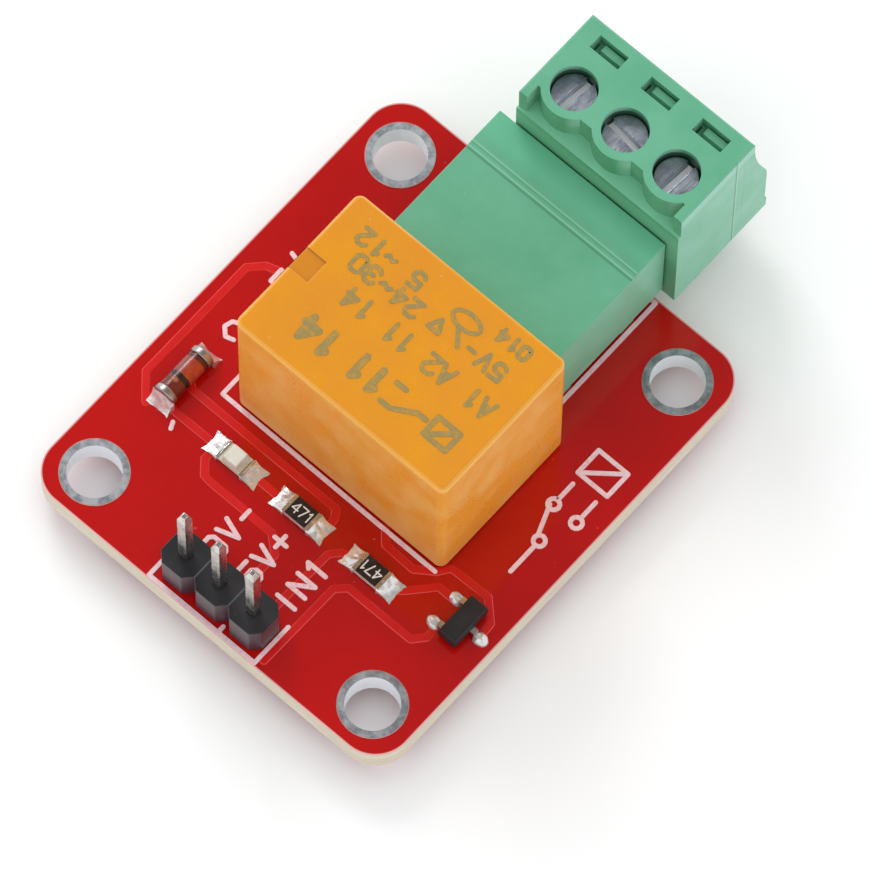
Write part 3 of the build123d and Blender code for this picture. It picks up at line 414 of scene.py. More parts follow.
def makeLensFinish():
    # Water-clear resin over a pale chip, yellower in patches
    look = {"clear": paint(236, 241, 235), "yellow": paint(230, 231, 214)}
    material, tree, shader, place = newFinish("ledResin", Transmission_Weight=0.12, IOR=1.5,
                                              Subsurface_Weight=0.2, Subsurface_Scale=0.0004)
    cloud = noise(tree, place, 1800, 3.0)
    colour = blend(tree, cloud, look["clear"], look["yellow"])
    dress(tree, shader, colour, vary(tree, cloud, 0.1, 0.28), cloud, 6e-6)
    return material


def makeGlassFinish():
    # Thin drawn glass with faint waves
    look = {"thin": paint(250, 216, 200), "thick": paint(238, 190, 172), "drawn": (1.0, 0.25, 1.0)}
    material, tree, shader, place = newFinish("drawnGlass", Transmission_Weight=1.0, IOR=1.48)
    wave = noise(tree, stretched(tree, place, look["drawn"]), 2600)
    colour = blend(tree, wave, look["thin"], look["thick"], fieldSpan)
    dress(tree, shader, colour, vary(tree, wave, 0.12, 0.24), wave, 3e-6)
    return material


def makeDiodeInsideFinish():
    # What shows through the glass: a copper slug, a dark band and, past it, a small painted highlight;
    # towards -X a painted reflection hazes it
    look = {"slug": paint(255, 132, 80), "slugShade": paint(240, 100, 66), "paintedReflectionHaze": paint(206, 130, 134),
            "far": paint(160, 60, 50), "end": paint(120, 40, 40), "band": paint(16, 8, 12),
            "spot": paint(255, 196, 140), "highlightSpotAt": (-10.45, -6.18), "highlightSpotSize": 0.2, "wander": 0.2,
            "bandAt": -5.86, "bandHalf": 0.2, "slugFrom": -4.45}
    material, tree, shader, place = newFinish("diodeInside", Coat_Weight=0.3, Coat_Roughness=0.15)
    spot, middle = split(tree, place), look["highlightSpotAt"][0]
    wander = calc(tree, "SUBTRACT", noise(tree, place, 1500), 0.5)
    wavy = calc(tree, "ADD", spot[1], calc(tree, "MULTIPLY", wander, look["wander"] * mm))
    aside = [calc(tree, "SUBTRACT", spot[axis], look["highlightSpotAt"][axis] * mm) for axis in (0, 1)]
    colour = blend(tree, noise(tree, place, 2400, 3.0), look["slug"], look["slugShade"])
    # Painted reflection as a pale haze towards -X, and a painted highlight as a small bright spot
    for faded, tint in (
            (fade(tree, spot[0], middle + 0.1, middle - 0.3), "paintedReflectionHaze"),
            (fade(tree, wavy, look["slugFrom"] - 0.1, look["slugFrom"]), "end"),
            (fade(tree, wavy, look["bandAt"], look["bandAt"] - 0.1), "far"),
            (fade(tree, lengthOf(tree, *aside), look["highlightSpotSize"], look["highlightSpotSize"] * 0.4), "spot")):
        colour = mixColours(tree, faded, colour, look[tint])
    colour = addBands(tree, colour, {1: wavy}, [(1, look["bandAt"], look["bandHalf"], look["band"], 1.0)])
    dress(tree, shader, colour, vary(tree, noise(tree, place, 900), 0.3, 0.55), noise(tree, place, 3000),
          1e-5)
    return material


def makeScrewFinish():
    # Zinc-plated steel, scratched across the head by the driver, with a painted highlight: the slot's floor
    # painted white
    look = {"zinc": paint(206, 214, 226), "dull": paint(150, 158, 174), "scratch": paint(240, 240, 240),
            "scratchSpan": (0.6, 0.75), "drawn": (1.0, 0.12, 1.0), "slotHighlight": paint(250, 250, 250),
            "slotFrom": 0.15, "slotFull": 0.3}
    material, tree, shader, place = newFinish("zincedSteel")
    scratches = noise(tree, stretched(tree, place, look["drawn"]), 7000, 4.0, 0.7)
    patches = noise(tree, place, 900, 4.0, 0.6)
    steel = blend(tree, patches, look["zinc"], look["dull"])
    steel = blend(tree, scratches, steel, look["scratch"], look["scratchSpan"])
    # Painted highlight: the slot's floor is painted white and not metallic
    headTop = boxOf("clamp_screw_1")[1].z
    deep = fade(tree, split(tree, place)[2], headTop - look["slotFrom"], headTop - look["slotFull"])
    slotHighlight = calc(tree, "MULTIPLY", deep, remap(tree, facings(tree)[2], 0.8, 0.95))
    tree.links.new(remap(tree, slotHighlight, 0.0, 1.0, 1.0, 0.0), shader.inputs["Metallic"])
    dress(tree, shader, mixColours(tree, slotHighlight, steel, look["slotHighlight"]),
          vary(tree, scratches, 0.22, 0.42), calc(tree, "ADD", scratches, patches), 1.2e-5)
    return material


# Top and cloud are the moulding's own colours; right and rightSheenHaze are a painted sheen; front is painted
# shade on the green and a painted sheen on the black
greenLook = {"top": paint(88, 166, 130), "cloud": paint(98, 174, 140), "front": paint(78, 152, 112),
             "right": paint(124, 190, 160), "rightSheenHaze": paint(112, 182, 150), "roughness": 0.38}
blackLook = {"top": paint(30, 31, 36), "cloud": paint(44, 42, 46), "front": paint(70, 62, 68),
             "right": paint(54, 46, 52), "rightSheenHaze": paint(66, 54, 60), "roughness": 0.34}
capSeam = boxOf("plug_end_cap")[0].y
screwLow, screwHigh = boxOf("clamp_screw_2")
# Bands by the face they show on. The header's roof: a paler painted highlight near the plug, and lines of
# painted highlight and shade along its step. The plug: a painted highlight along the top of its right-hand
# side, a dark line at its cap's seam with a painted highlight beside it, and painted light lifting the shade
# on its front and ledge.
# The pin strip: lines where it can be cut
roofLightAndShade = {"top": [
    (1, 16.8, 2.4, paint(98, 184, 148), 0.8), (1, 13.62, 0.09, paint(70, 140, 106), 0.8),
    (1, 13.76, 0.07, paint(132, 196, 164), 0.6), (1, 14.12, 0.07, paint(140, 200, 170), 0.5),
    (1, 14.02, 0.05, paint(72, 142, 108), 0.6)]}
# Painted light on the plug: a highlight along its right-hand side's top, a highlight beside the seam's dark
# line, and lighter bands that lift the shade on its front and ledge
plugLightAndSeam = {
    "right": [(2, plugHigh.z - 0.4, 0.75, paint(150, 206, 184), 0.7),
              (1, capSeam, 0.06, paint(66, 116, 92), 0.8),
              (1, capSeam + 0.1, 0.05, paint(160, 212, 190), 0.7)],
    "front": [(2, 8.6, 2.1, paint(104, 180, 142), 0.9)],
    "top": [(2, 10.75, 0.3, paint(124, 200, 164), 0.9)],
}
stripCuts = {"top": [(0, at, 0.06, paint(84, 92, 100), 0.8) for at in (-1.37, 1.17)]}
# Painted shade in the screw wells: a dark band round the screw heads
screwWellShade = {"middle": ((plugLow.x + plugHigh.x) / 2, screwHigh.y - 0.95), "at": screwHigh.z - 0.1,
             "half": 0.7, "reach": ((plugHigh.x - plugLow.x) / 2 - 0.5, 1.25), "soft": 0.2,
             "strength": 0.92, "tint": paint(20, 62, 42)}
finishes.update({
    "greenHeader": makeMouldingFinish("greenHeader", greenLook, roofLightAndShade),
    "greenPlug": makeMouldingFinish("greenPlug", greenLook, plugLightAndSeam, screwWellShade),
    "blackMoulding": makeMouldingFinish("blackMoulding", blackLook, stripCuts),
    "tinnedLand": makeLandFinish(),
    "maskedLaminate": makeBoardFinish(),
    "maskedCopper": makeTraceFinish(),
    "whitePrint": makeInkFinish("whitePrint", paint(238, 210, 216), paint(228, 178, 188), 5200, 0.5),
    "caseInk": makeInkFinish("caseInk", paint(148, 128, 70), paint(188, 138, 36), 3400, 0.6),
    "chipInk": makeInkFinish("chipInk", paint(232, 230, 224), paint(196, 192, 186), 9000, 0.5),
    "amberCase": makeRelayFinish(),
    "filmOnCeramic": makeResistorFinish(),
    "ledResin": makeLensFinish(),
    "drawnGlass": makeGlassFinish(),
    "diodeInside": makeDiodeInsideFinish(),
    "zincedSteel": makeScrewFinish(),
})
print("finishes made:", len(finishes))


# Meshes drawn in millimetres become pieces in metres
def addPiece(name, mesh, finish=None, smoothAngle=None):
    mesh.transform(Matrix.Scale(mm, 4))
    if finish:
        mesh.materials.clear()
        mesh.materials.append(finishes[finish])
    if smoothAngle is not None:
        mesh.shade_smooth()
        mesh.set_sharp_from_angle(angle=math.radians(smoothAngle))
    mesh.name = name
    piece = bpy.data.objects.new(name, mesh)
    bpy.context.scene.collection.objects.link(piece)
    return piece


def meshOf(shape, name):
    mesh = bpy.data.meshes.new(name)
    shape.to_mesh(mesh)
    shape.free()
    return mesh


def evaluatedMesh(mesh, prepare):
    # Runs the modifiers that prepare() adds to a passing object, and gives the plain mesh
    passing = bpy.data.objects.new("passing", mesh)
    bpy.context.scene.collection.objects.link(passing)
    prepare(passing)
    bpy.context.view_layer.update()
    made = bpy.data.meshes.new_from_object(passing.evaluated_get(bpy.context.evaluated_depsgraph_get()))
    bpy.data.objects.remove(passing)
    return made


def liesOn(piece, node):
    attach(piece, bodyOf[node])


def standsFor(piece, node):
    liesOn(piece, node)
    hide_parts(node)


# Rigid pieces: the solid's own faces with their edges rounded, and steps too faint for that kept crisp
edgeLook = {"weld": 2e-4, "flat": 1.2, "faint": 11, "sharp": 28, "segments": 2, "flatWeight": 60}


def roundedCopy(node, name, finish, edge):
    flat, faint, sharp = (math.radians(edgeLook[key]) for key in ("flat", "faint", "sharp"))
    shape = bmesh.new()
    shape.from_mesh(frame["nodes"][node].data)
    bmesh.ops.scale(shape, vec=(1 / mm,) * 3, verts=shape.verts)
    bmesh.ops.remove_doubles(shape, verts=shape.verts, dist=edgeLook["weld"])
    bmesh.ops.dissolve_limit(shape, angle_limit=flat, verts=shape.verts, edges=shape.edges)
    for face in shape.faces:
        face.smooth = True
    for rim in shape.edges:
        rim.smooth = not faint < rim.calc_face_angle(0.0) < sharp

    def prepare(passing):
        bevel = passing.modifiers.new("edges", "BEVEL")
        bevel.width, bevel.segments = edge, edgeLook["segments"]
        bevel.limit_method, bevel.angle_limit = "ANGLE", sharp
        bevel.miter_outer = "MITER_ARC"
        weighted = passing.modifiers.new("flats", "WEIGHTED_NORMAL")
        weighted.keep_sharp, weighted.weight = True, edgeLook["flatWeight"]
    standsFor(addPiece(name, evaluatedMesh(meshOf(shape, name), prepare), finish), node)


# Node: piece, finish, width of the rounded edge
roundedPieces = {
    "relay_cover": ("relayCase", "amberCase", 0.06),
    "terminal_header_housing": ("terminalShell", "greenHeader", 0.06),
    "plug_housing": ("plugShell", "greenPlug", 0.06),
    "plug_end_cap": ("wireFace", "greenPlug", 0.06),
    "pin_header_strip": ("headerStrip", "blackMoulding", 0.07),
    "transistor_body": ("transistorBlock", "transistorEpoxy", 0.05),
    "led_lens": ("lightLens", "ledResin", 0.07),
    "led_base": ("lightBase", "ledPlastic", 0.03),
    "led_terminals": ("lightEnds", "chipTerminal", 0.02),
    "diode_end_caps": ("diodeCaps", "dullCap", 0.1),
}
for number in (1, 2, 3):
    roundedPieces[f"header_pin_{number}"] = (f"headerPost_{number}", "tinnedPin", 0.05)
    roundedPieces[f"clamp_screw_{number}"] = (f"clampScrew_{number}", "zincedSteel", 0.06)
    roundedPieces[f"clamp_cage_{number}"] = (f"clampCage_{number}", "clampSteel", 0.06)
for number in (1, 2):
    roundedPieces[f"resistor_{number}_terminals"] = (f"resistorEnds_{number}", "chipTerminal", 0.02)
    roundedPieces[f"resistor_{number}_body"] = (f"resistorChip_{number}", "filmOnCeramic", 0.015)
for node, (name, finish, edge) in roundedPieces.items():
    roundedCopy(node, name, finish, edge)
print("rounded pieces:", len(roundedPieces))

# Nodes whose own shape stays, with their finish
keptFinishes = {
    "maskedLaminate": ["circuit_board"],
    "tinnedLand": ["mounting_hole_linings"],
    "darkBase": ["relay_base"],
    "whiteBobbin": ["relay_bobbin"],
    "copperWire": ["relay_winding"],
    "softIron": ["relay_yoke", "relay_core", "relay_armature"],
    "springBronze": ["relay_contact_spring", "relay_open_contact", "relay_closed_contact"],
    "tinnedPin": ["relay_coil_pins", "relay_common_pin", "transistor_leads"]
    + [f"{kind}_{number}" for kind in ("terminal_pin", "plug_contact") for number in (1, 2, 3)],
}
for finish, nodes in keptFinishes.items():
    for node in nodes:
        mesh = frame["nodes"][node].data
        mesh.materials.clear()
        mesh.materials.append(finishes[finish])
print("kept nodes finished")


# Node trees that grow a shape from points or paths
def startTree(name, source, numbers):
    tree = bpy.data.node_groups.new(name, "GeometryNodeTree")
    tree.interface.new_socket("Geometry", in_out="OUTPUT", socket_type="NodeSocketGeometry")
    for label, kind in {source: "Geometry", **dict.fromkeys(numbers, "Float"), "Finish": "Material"}.items():
        tree.interface.new_socket(label, in_out="INPUT", socket_type="NodeSocket" + kind)
    return tree, tree.nodes.new("NodeGroupInput").outputs


def endTree(tree, shape, finish, smooth):
    solid = outOf(tree, "GeometryNodeRealizeInstances", {0: shape})
    shaded = outOf(tree, "GeometryNodeSetShadeSmooth", {0: solid, "Shade Smooth": smooth})
    finished = outOf(tree, "GeometryNodeSetMaterial", {"Geometry": shaded, "Material": finish})
    addNode(tree, "NodeGroupOutput", {0: finished})
    return tree


def growFrom(mesh, tree, values):
    def prepare(passing):
        maker = passing.modifiers.new("maker", "NODES")
        maker.node_group = tree
        for socket in tree.interface.items_tree:
            if socket.in_out == "INPUT" and socket.name in values:
                maker[socket.identifier] = values[socket.name]
    return evaluatedMesh(mesh, prepare)


def makeDrawnLines():
    # Lines on a face: a raised band along every path, with a round end at every point
    tree, given = startTree("drawnLines", "Paths", ("Line Width", "Line Height", "Shoulder"))
    wide, tall = given["Line Width"], given["Line Height"]
    narrow = calc(tree, "SUBTRACT", wide, given["Shoulder"])
    path = outOf(tree, "GeometryNodeMeshToCurve", {"Mesh": given["Paths"]})
    upright = outOf(tree, "GeometryNodeSetCurveNormal", {"Curve": path}, mode="Z_UP")
    section = outOf(tree, "GeometryNodeCurvePrimitiveQuadrilateral",
                    {"Height": tall, "Bottom Width": narrow, "Top Width": wide, "Offset": 0.0},
                    mode="TRAPEZOID")
    band = outOf(tree, "GeometryNodeCurveToMesh",
                 {"Curve": upright, "Profile Curve": section, "Fill Caps": True})
    # The caps stop short of the band above and below, so that no two faces share a plane
    cap = outOf(tree, "GeometryNodeMeshCone", {
        "Vertices": 16, "Radius Top": calc(tree, "MULTIPLY", narrow, 0.5),
        "Radius Bottom": calc(tree, "MULTIPLY", wide, 0.5), "Depth": calc(tree, "MULTIPLY", tall, 0.9)})
    lower = outOf(tree, "ShaderNodeCombineXYZ", {2: calc(tree, "MULTIPLY", tall, -0.45)})
    single = outOf(tree, "GeometryNodeMergeByDistance", {"Geometry": given["Paths"], "Distance": 0.01})
    seats = outOf(tree, "GeometryNodeSetPosition", {"Geometry": single, "Offset": lower})
    caps = outOf(tree, "GeometryNodeInstanceOnPoints", {"Points": seats, "Instance": cap})
    joined = addNode(tree, "GeometryNodeJoinGeometry", {0: caps})
    tree.links.new(band, joined.inputs[0])
    return endTree(tree, joined.outputs[0], given["Finish"], False)


drawnLines = makeDrawnLines()
# Strokes lie on seven levels in turn, so that those that meet or cross never share a plane
levels, levelShare = 7, 0.04


def drawOn(node, name, paths, face, look, finish, width="width"):
    # The band's foot is sunk a little, so that it grows out of the face
    mesh = bpy.data.meshes.new(name)
    points, edges = [], []
    lowest, step = face + look["height"] / 2 - look["sunk"], look["height"] * levelShare
    for path in paths:
        for first, second in zip(path, path[1:]):
            level = lowest + step * (len(edges) % levels)
            edges.append((len(points), len(points) + 1))
            points += [(*first, level), (*second, level)]
    mesh.from_pydata(points, edges, [])
    made = growFrom(mesh, drawnLines, {"Line Width": look[width], "Line Height": look["height"],
                                       "Shoulder": look["shoulder"], "Finish": finishes[finish]})
    liesOn(addPiece(name, made), node)


# Stroke figures on a cell 4 wide and 6 high
strokes = {
    "0": [[(0, 1), (0, 5), (1, 6), (3, 6), (4, 5), (4, 1), (3, 0), (1, 0), (0, 1)]],
    "1": [[(0.8, 4.8), (2, 6), (2, 0)]],
    "2": [[(0, 5), (1, 6), (3, 6), (4, 5), (4, 4), (0, 0), (4, 0)]],
    "3": [[(0, 5), (1, 6), (3, 6), (4, 5), (4, 4), (3, 3), (4, 2), (4, 1), (3, 0), (1, 0), (0, 1)],
          [(1.6, 3), (3, 3)]],
    "4": [[(3, 0), (3, 6), (0, 2), (4, 2)]],
    "5": [[(4, 6), (0, 6), (0, 3.4), (3, 3.4), (4, 2.4), (4, 1), (3, 0), (1, 0), (0, 1)]],
    "7": [[(0, 6), (4, 6), (1.6, 0)]],
    "A": [[(0, 0), (2, 6), (4, 0)], [(0.8, 2.2), (3.2, 2.2)]],
    "I": [[(2, 0), (2, 6)]],
    "N": [[(0, 0), (0, 6), (4, 0), (4, 6)]],
    "V": [[(0, 6), (2, 0), (4, 6)]],
    "+": [[(0, 3), (4, 3)], [(2, 1), (2, 5)]],
    "-": [[(0.5, 3), (3.5, 3)]],
    "~": [[(0, 2.6), (1, 3.6), (2, 3), (3, 2.4), (4, 3.4)]],
}


def written(words, start, along, up, height, pitch=1.45):
    # Paths of a word whose first cell stands on start, reading along one way with its tops another
    unit = height / 6
    paths = []
    for place, sign in enumerate(words):
        for stroke in strokes.get(sign, []):
            paths.append([tuple(start[axis] + unit * ((x + 4 * pitch * place) * along[axis] + y * up[axis])
                                for axis in (0, 1)) for x, y in stroke])
    return paths


def ring(centre, radiusX, radiusY, count=20):
    turns = [2 * math.pi * step / count for step in range(count + 1)]
    return [(centre[0] + radiusX * math.cos(turn), centre[1] + radiusY * math.sin(turn)) for turn in turns]


# Through-hole joints: a barrel in the board that flares to a hollow cone on the underside
jointLook = {"spread": 0.65, "barrelShare": 0.58, "tipShare": 0.5, "hollow": 2.4, "coneHeight": 0.95,
             "cutDepth": 0.05, "leadSpan": 1.2}
leadNodes = [f"{kind}_{number}" for kind in ("header_pin", "terminal_pin") for number in (1, 2, 3)]
leadNodes += ["relay_coil_pins", "relay_common_pin", "relay_open_contact", "relay_closed_contact"]


def leadFeet(node):
    # Middle and half diagonal of every lead of a node, read from its cut ends
    feet, span = [], jointLook["leadSpan"]
    for corner in frame["nodes"][node].data.vertices:
        x, y, z = corner.co / mm
        if z < leadEnd + jointLook["cutDepth"]:
            near = [foot for foot in feet if abs(foot[0] - x) < span and abs(foot[2] - y) < span]
            if near:
                foot = near[0]
                foot[:] = min(foot[0], x), max(foot[1], x), min(foot[2], y), max(foot[3], y)
            else:
                feet.append([x, x, y, y])
    return [((left + right) / 2, (front + rear) / 2, math.hypot(right - left, rear - front) / 2)
            for left, right, front, rear in feet]


def makeJointCones():
    tree, given = startTree("jointCones", "Leads",
                            ("Barrel Height", "Cone Height", "Barrel Share", "Tip Share", "Hollow"))
    coneHeight, tipShare = given["Cone Height"], given["Tip Share"]
    whole = calc(tree, "ADD", given["Barrel Height"], coneHeight)
    stock = outOf(tree, "GeometryNodeMeshCylinder", {"Vertices": 36, "Side Segments": 26, "Fill Segments": 1,
                                                     "Radius": 1.0, "Depth": whole}, fill_type="TRIANGLE_FAN")
    spot = split(tree, outOf(tree, "GeometryNodeInputPosition"))
    raised = calc(tree, "SUBTRACT", calc(tree, "MULTIPLY", whole, 0.5), coneHeight)
    height = calc(tree, "ADD", spot[2], raised)
    # The 0.5 starts each cone halfway along its flare, which leaves it slimmer than the solid's
    depth = outOf(tree, "ShaderNodeMath", {
        0: calc(tree, "DIVIDE", calc(tree, "MULTIPLY", height, -1.0), coneHeight), 1: 0.5},
        operation="ADD", use_clamp=True)
    flare = calc(tree, "POWER", calc(tree, "SUBTRACT", 1.0, depth), given["Hollow"])
    widened = calc(tree, "MULTIPLY", flare, calc(tree, "SUBTRACT", 1.0, tipShare))
    above = calc(tree, "GREATER_THAN", height, 0.02)
    share = outOf(tree, "ShaderNodeMix", {0: above, 2: calc(tree, "ADD", tipShare, widened),
                                          3: given["Barrel Share"]})
    shaped = outOf(tree, "ShaderNodeCombineXYZ", {0: calc(tree, "MULTIPLY", spot[0], share),
                                                  1: calc(tree, "MULTIPLY", spot[1], share), 2: height})
    cone = outOf(tree, "GeometryNodeSetPosition", {"Geometry": stock, "Position": shaped})
    wide = outOf(tree, "GeometryNodeInputNamedAttribute", {"Name": "radius"}, data_type="FLOAT")
    scale = outOf(tree, "ShaderNodeCombineXYZ", {0: wide, 1: wide, 2: 1.0})
    joints = outOf(tree, "GeometryNodeInstanceOnPoints", {"Points": given["Leads"], "Instance": cone,
                                                          "Scale": scale})
    return endTree(tree, joints, given["Finish"], True)


def makeJoints():
    leads = [lead for node in leadNodes for lead in leadFeet(node)]
    mesh = bpy.data.meshes.new("leadJoints")
    mesh.from_pydata([(x, y, 0.0) for x, y, reach in leads], [], [])
    radius = mesh.attributes.new("radius", "FLOAT", "POINT")
    for point, (x, y, reach) in zip(radius.data, leads):
        point.value = reach + jointLook["spread"]
    made = growFrom(mesh, makeJointCones(), {
        "Barrel Height": boardTop, "Cone Height": jointLook["coneHeight"],
        "Barrel Share": jointLook["barrelShare"], "Tip Share": jointLook["tipShare"],
        "Hollow": jointLook["hollow"], "Finish": finishes["jointSolder"]})
    standsFor(addPiece("leadJoints", made), "underside_solder")
    print("through-hole joints:", len(leads))


makeJoints()


# Solder under the chip parts: wedges drawn out along the land at their corners, and small domes on the thin
# leads, all with a foot a little above the board and a skirt that reaches just into it
solderFoot, solderRoot, seedStep = 0.04, 0.004, 1.7
wedgeGrid, domeGrid = (24, 26), (15, 15)


def closedSheet(shape, top, bottomLevel, columns):
    # A sheet of rows of points, closed by a flat foot and a skirt
    upper = [shape.verts.new(point) for point in top]
    lower = [shape.verts.new((point[0], point[1], bottomLevel)) for point in top]
    rows = len(top) // columns
    for row in range(rows - 1):
        for column in range(columns - 1):
            first = row * columns + column
            square = (first, first + 1, first + columns + 1, first + columns)
            shape.faces.new([upper[index] for index in square])
            shape.faces.new([lower[index] for index in reversed(square)])
    border = list(range(columns)) + [row * columns + columns - 1 for row in range(1, rows)]
    border += [(rows - 1) * columns + column for column in range(columns - 2, -1, -1)]
    border += [row * columns for row in range(rows - 2, 0, -1)]
    for first, second in zip(border, border[1:] + border[:1]):
        shape.faces.new([upper[second], upper[first], lower[first], lower[second]])


def solderWedge(shape, foot, outward, look, seed):
    across = Vector((-outward[1], outward[0]))
    rows, columns = wedgeGrid
    top = []
    for row in range(rows):
        along = row / (rows - 1)
        for column in range(columns):
            side = 2 * column / (columns - 1) - 1
            waist = 1 - look["pinch"] * math.sin(math.pi * min(1.0, along * 1.15))
            reach = look["reach"] * (1 - look["bay"] * (1 - side ** 2)) + 0.06 * ripple((side * 2, seed, 3.0))
            ridge = math.exp(-((side - 0.35 * math.sin(seed * 2.7)) / 0.3) ** 2)
            slope = (1 - along) ** look["hollow"]
            rise = look["height"] * slope * (1 - 0.3 * abs(side) ** 3)
            rise += 0.3 * look["height"] * ridge * along * (1 - along)
            rise += (0.07 * ripple((side * 2.3 + seed, along * 3.1, seed))
                     * math.sin(math.pi * min(1, along + 0.15)))
            place = Vector(foot) + Vector(outward) * (reach * along - look["overlap"] * (1 - along))
            place += across * (side * look["width"] / 2 * waist)
            top.append((place.x, place.y, boardTop + solderFoot + max(0.0, rise)))
    closedSheet(shape, top, boardTop - solderRoot, columns)


def solderDome(shape, centre, radii, height, seed):
    rows, columns = domeGrid
    top = []
    for row in range(rows):
        for column in range(columns):
            u, v = 2 * column / (columns - 1) - 1, 2 * row / (rows - 1) - 1
            disc = (u * math.sqrt(1 - v * v / 2), v * math.sqrt(1 - u * u / 2))
            edge = 1 + 0.14 * ripple((disc[0] * 1.3 + seed, disc[1] * 1.3, seed))
            rise = height * math.sqrt(max(0.0, 1 - disc[0] ** 2 - disc[1] ** 2))
            rise *= 1 + 0.35 * ripple((u * 2.1, v * 2.1 + seed, 1.5))
            top.append((centre[0] + radii[0] * disc[0] * edge, centre[1] + radii[1] * disc[1] * edge,
                        boardTop + solderFoot + rise))
    closedSheet(shape, top, boardTop - solderRoot, columns)


chipSolder = {"width": 1.42, "reach": 0.98, "height": 0.56, "hollow": 1.5, "pinch": 0.08, "bay": 0.13,
              "overlap": 0.12}
lightSolder = {**chipSolder, "height": 0.34, "hollow": 1.3}
diodeSolder = {**chipSolder, "width": 1.6, "reach": 0.62, "height": 1.15, "hollow": 1.15, "overlap": 0.05}
leadSolder = {"radii": (0.5, 0.4), "height": 0.3, "shift": 0.05, "endSlack": 0.02, "footHeight": 0.3,
              "gap": 0.6}


def footRows(node, side):
    # Middles of the lead ends that reach furthest along X
    low, high = boxOf(node)
    edge = low.x if side < 0 else high.x
    ceiling = boardTop + leadSolder["footHeight"]
    ys = sorted(corner.co.y / mm for corner in frame["nodes"][node].data.vertices
                if abs(corner.co.x / mm - edge) < leadSolder["endSlack"] and corner.co.z / mm < ceiling)
    groups = [[ys[0]]]
    for y in ys[1:]:
        if y - groups[-1][-1] > leadSolder["gap"]:
            groups.append([])
        groups[-1].append(y)
    return [(edge, (group[0] + group[-1]) / 2) for group in groups]


def makeSurfaceSolder():
    shape = bmesh.new()
    seed = 1.3
    for node, look in (("led_terminals", lightSolder), ("resistor_1_terminals", chipSolder),
                       ("resistor_2_terminals", chipSolder)):
        low, high = boxOf(node)
        for edge, side in ((low.x, -1), (high.x, 1)):
            solderWedge(shape, (edge, (low.y + high.y) / 2), (side, 0), look, seed)
            seed += seedStep
    low, high = boxOf("diode_end_caps")
    for edge, side in ((low.y, -1), (high.y, 1)):
        solderWedge(shape, ((low.x + high.x) / 2, edge), (0, side), diodeSolder, seed)
        seed += seedStep
    for side in (-1, 1):
        for x, y in footRows("transistor_leads", side):
            centre = (x + side * leadSolder["shift"], y)
            solderDome(shape, centre, leadSolder["radii"], leadSolder["height"], seed)
            seed += seedStep
    bmesh.ops.recalc_face_normals(shape, faces=shape.faces)
    standsFor(addPiece("surfaceSolder", meshOf(shape, "surfaceSolder"), "brightSolder", 40), "surface_solder")


makeSurfaceSolder()
print("surface solder made")

# Diode: a thin glass sleeve over what is painted inside it
diodeLook = {"glass": 0.7, "core": 0.6, "neck": 0.04, "inset": 0.03}


def turnedRod(profile, axisX, axisZ, count=40):
    # A closed shape turned about an axis that runs along Y, from (y, radius) pairs
    shape = bmesh.new()
    turns = [2 * math.pi * step / count for step in range(count)]
    rings = [[shape.verts.new((axisX + radius * math.cos(turn), y, axisZ + radius * math.sin(turn)))
              for turn in turns] for y, radius in profile]
    for first, second in zip(rings, rings[1:]):
        for step in range(count):
            after = (step + 1) % count
            shape.faces.new([first[step], first[after], second[after], second[step]])
    shape.faces.new(rings[0])
    shape.faces.new(list(reversed(rings[-1])))
    bmesh.ops.recalc_face_normals(shape, faces=shape.faces)
    return shape


def makeDiode():
    low, high = boxOf("diode_glass")
    axisX, axisZ = (low.x + high.x) / 2, (low.z + high.z) / 2
    outer, core, neck, inset = (diodeLook[key] for key in ("glass", "core", "neck", "inset"))
    sleeve = turnedRod([(low.y, outer - neck), (low.y + neck, outer), (high.y - neck, outer),
                        (high.y, outer - neck)], axisX, axisZ)
    inside = turnedRod([(low.y + inset, core), (high.y - inset, core)], axisX, axisZ)
    standsFor(addPiece("diodeSleeve", meshOf(sleeve, "diodeSleeve"), "drawnGlass", 40), "diode_glass")
    liesOn(addPiece("diodeInside", meshOf(inside, "diodeInside"), "diodeInside", 40), "diode_glass")


makeDiode()
print("diode made")

# Copper under the mask: the tracks on top
traceLook = {"width": 0.52, "height": 0.045, "shoulder": 0.12, "sunk": 0.01}
topTraces = [
    [(-11.2, -7.9), (-11.7, -7.35), (-12.45, -6.5), (-12.45, 2.0), (-11.67, 2.81), (-10.9, 3.06),
     (-7.0, 3.06)],
    [(-10.4, -7.6), (-9.89, -7.25), (-6.6, -7.23)],
    [(-10.45, -5.0), (-9.79, -5.6), (1.15, -5.6), (1.5, -6.1), (1.6, -7.2)],
    [(-6.4, -7.3), (-6.4, -8.24), (-5.74, -9.02), (-5.25, -9.1), (-0.55, -9.1), (0.42, -9.95), (0.42, -11.9),
     (-0.1, -12.5), (-0.1, -13.6)],
    [(-3.3, -7.2), (-1.7, -7.2)],
    [(3.7, -7.15), (3.13, -7.38), (2.65, -7.94), (2.5, -13.6)],
    [(4.2, -15.1), (4.27, -9.3), (4.87, -8.7), (9.5, -8.68), (10.1, -8.0), (10.1, -7.2)],
    [(6.9, -7.1), (7.36, -6.7), (8.62, -5.28), (9.68, -5.3)],
    [(4.0, -4.6), (4.69, -5.38), (6.83, -5.45), (7.95, -4.64), (8.41, -3.97), (11.08, -3.89), (12.25, -5.02),
     (12.3, -5.9)],
]
drawOn("circuit_board", "boardTraces", topTraces, boardTop, traceLook, "maskedCopper")

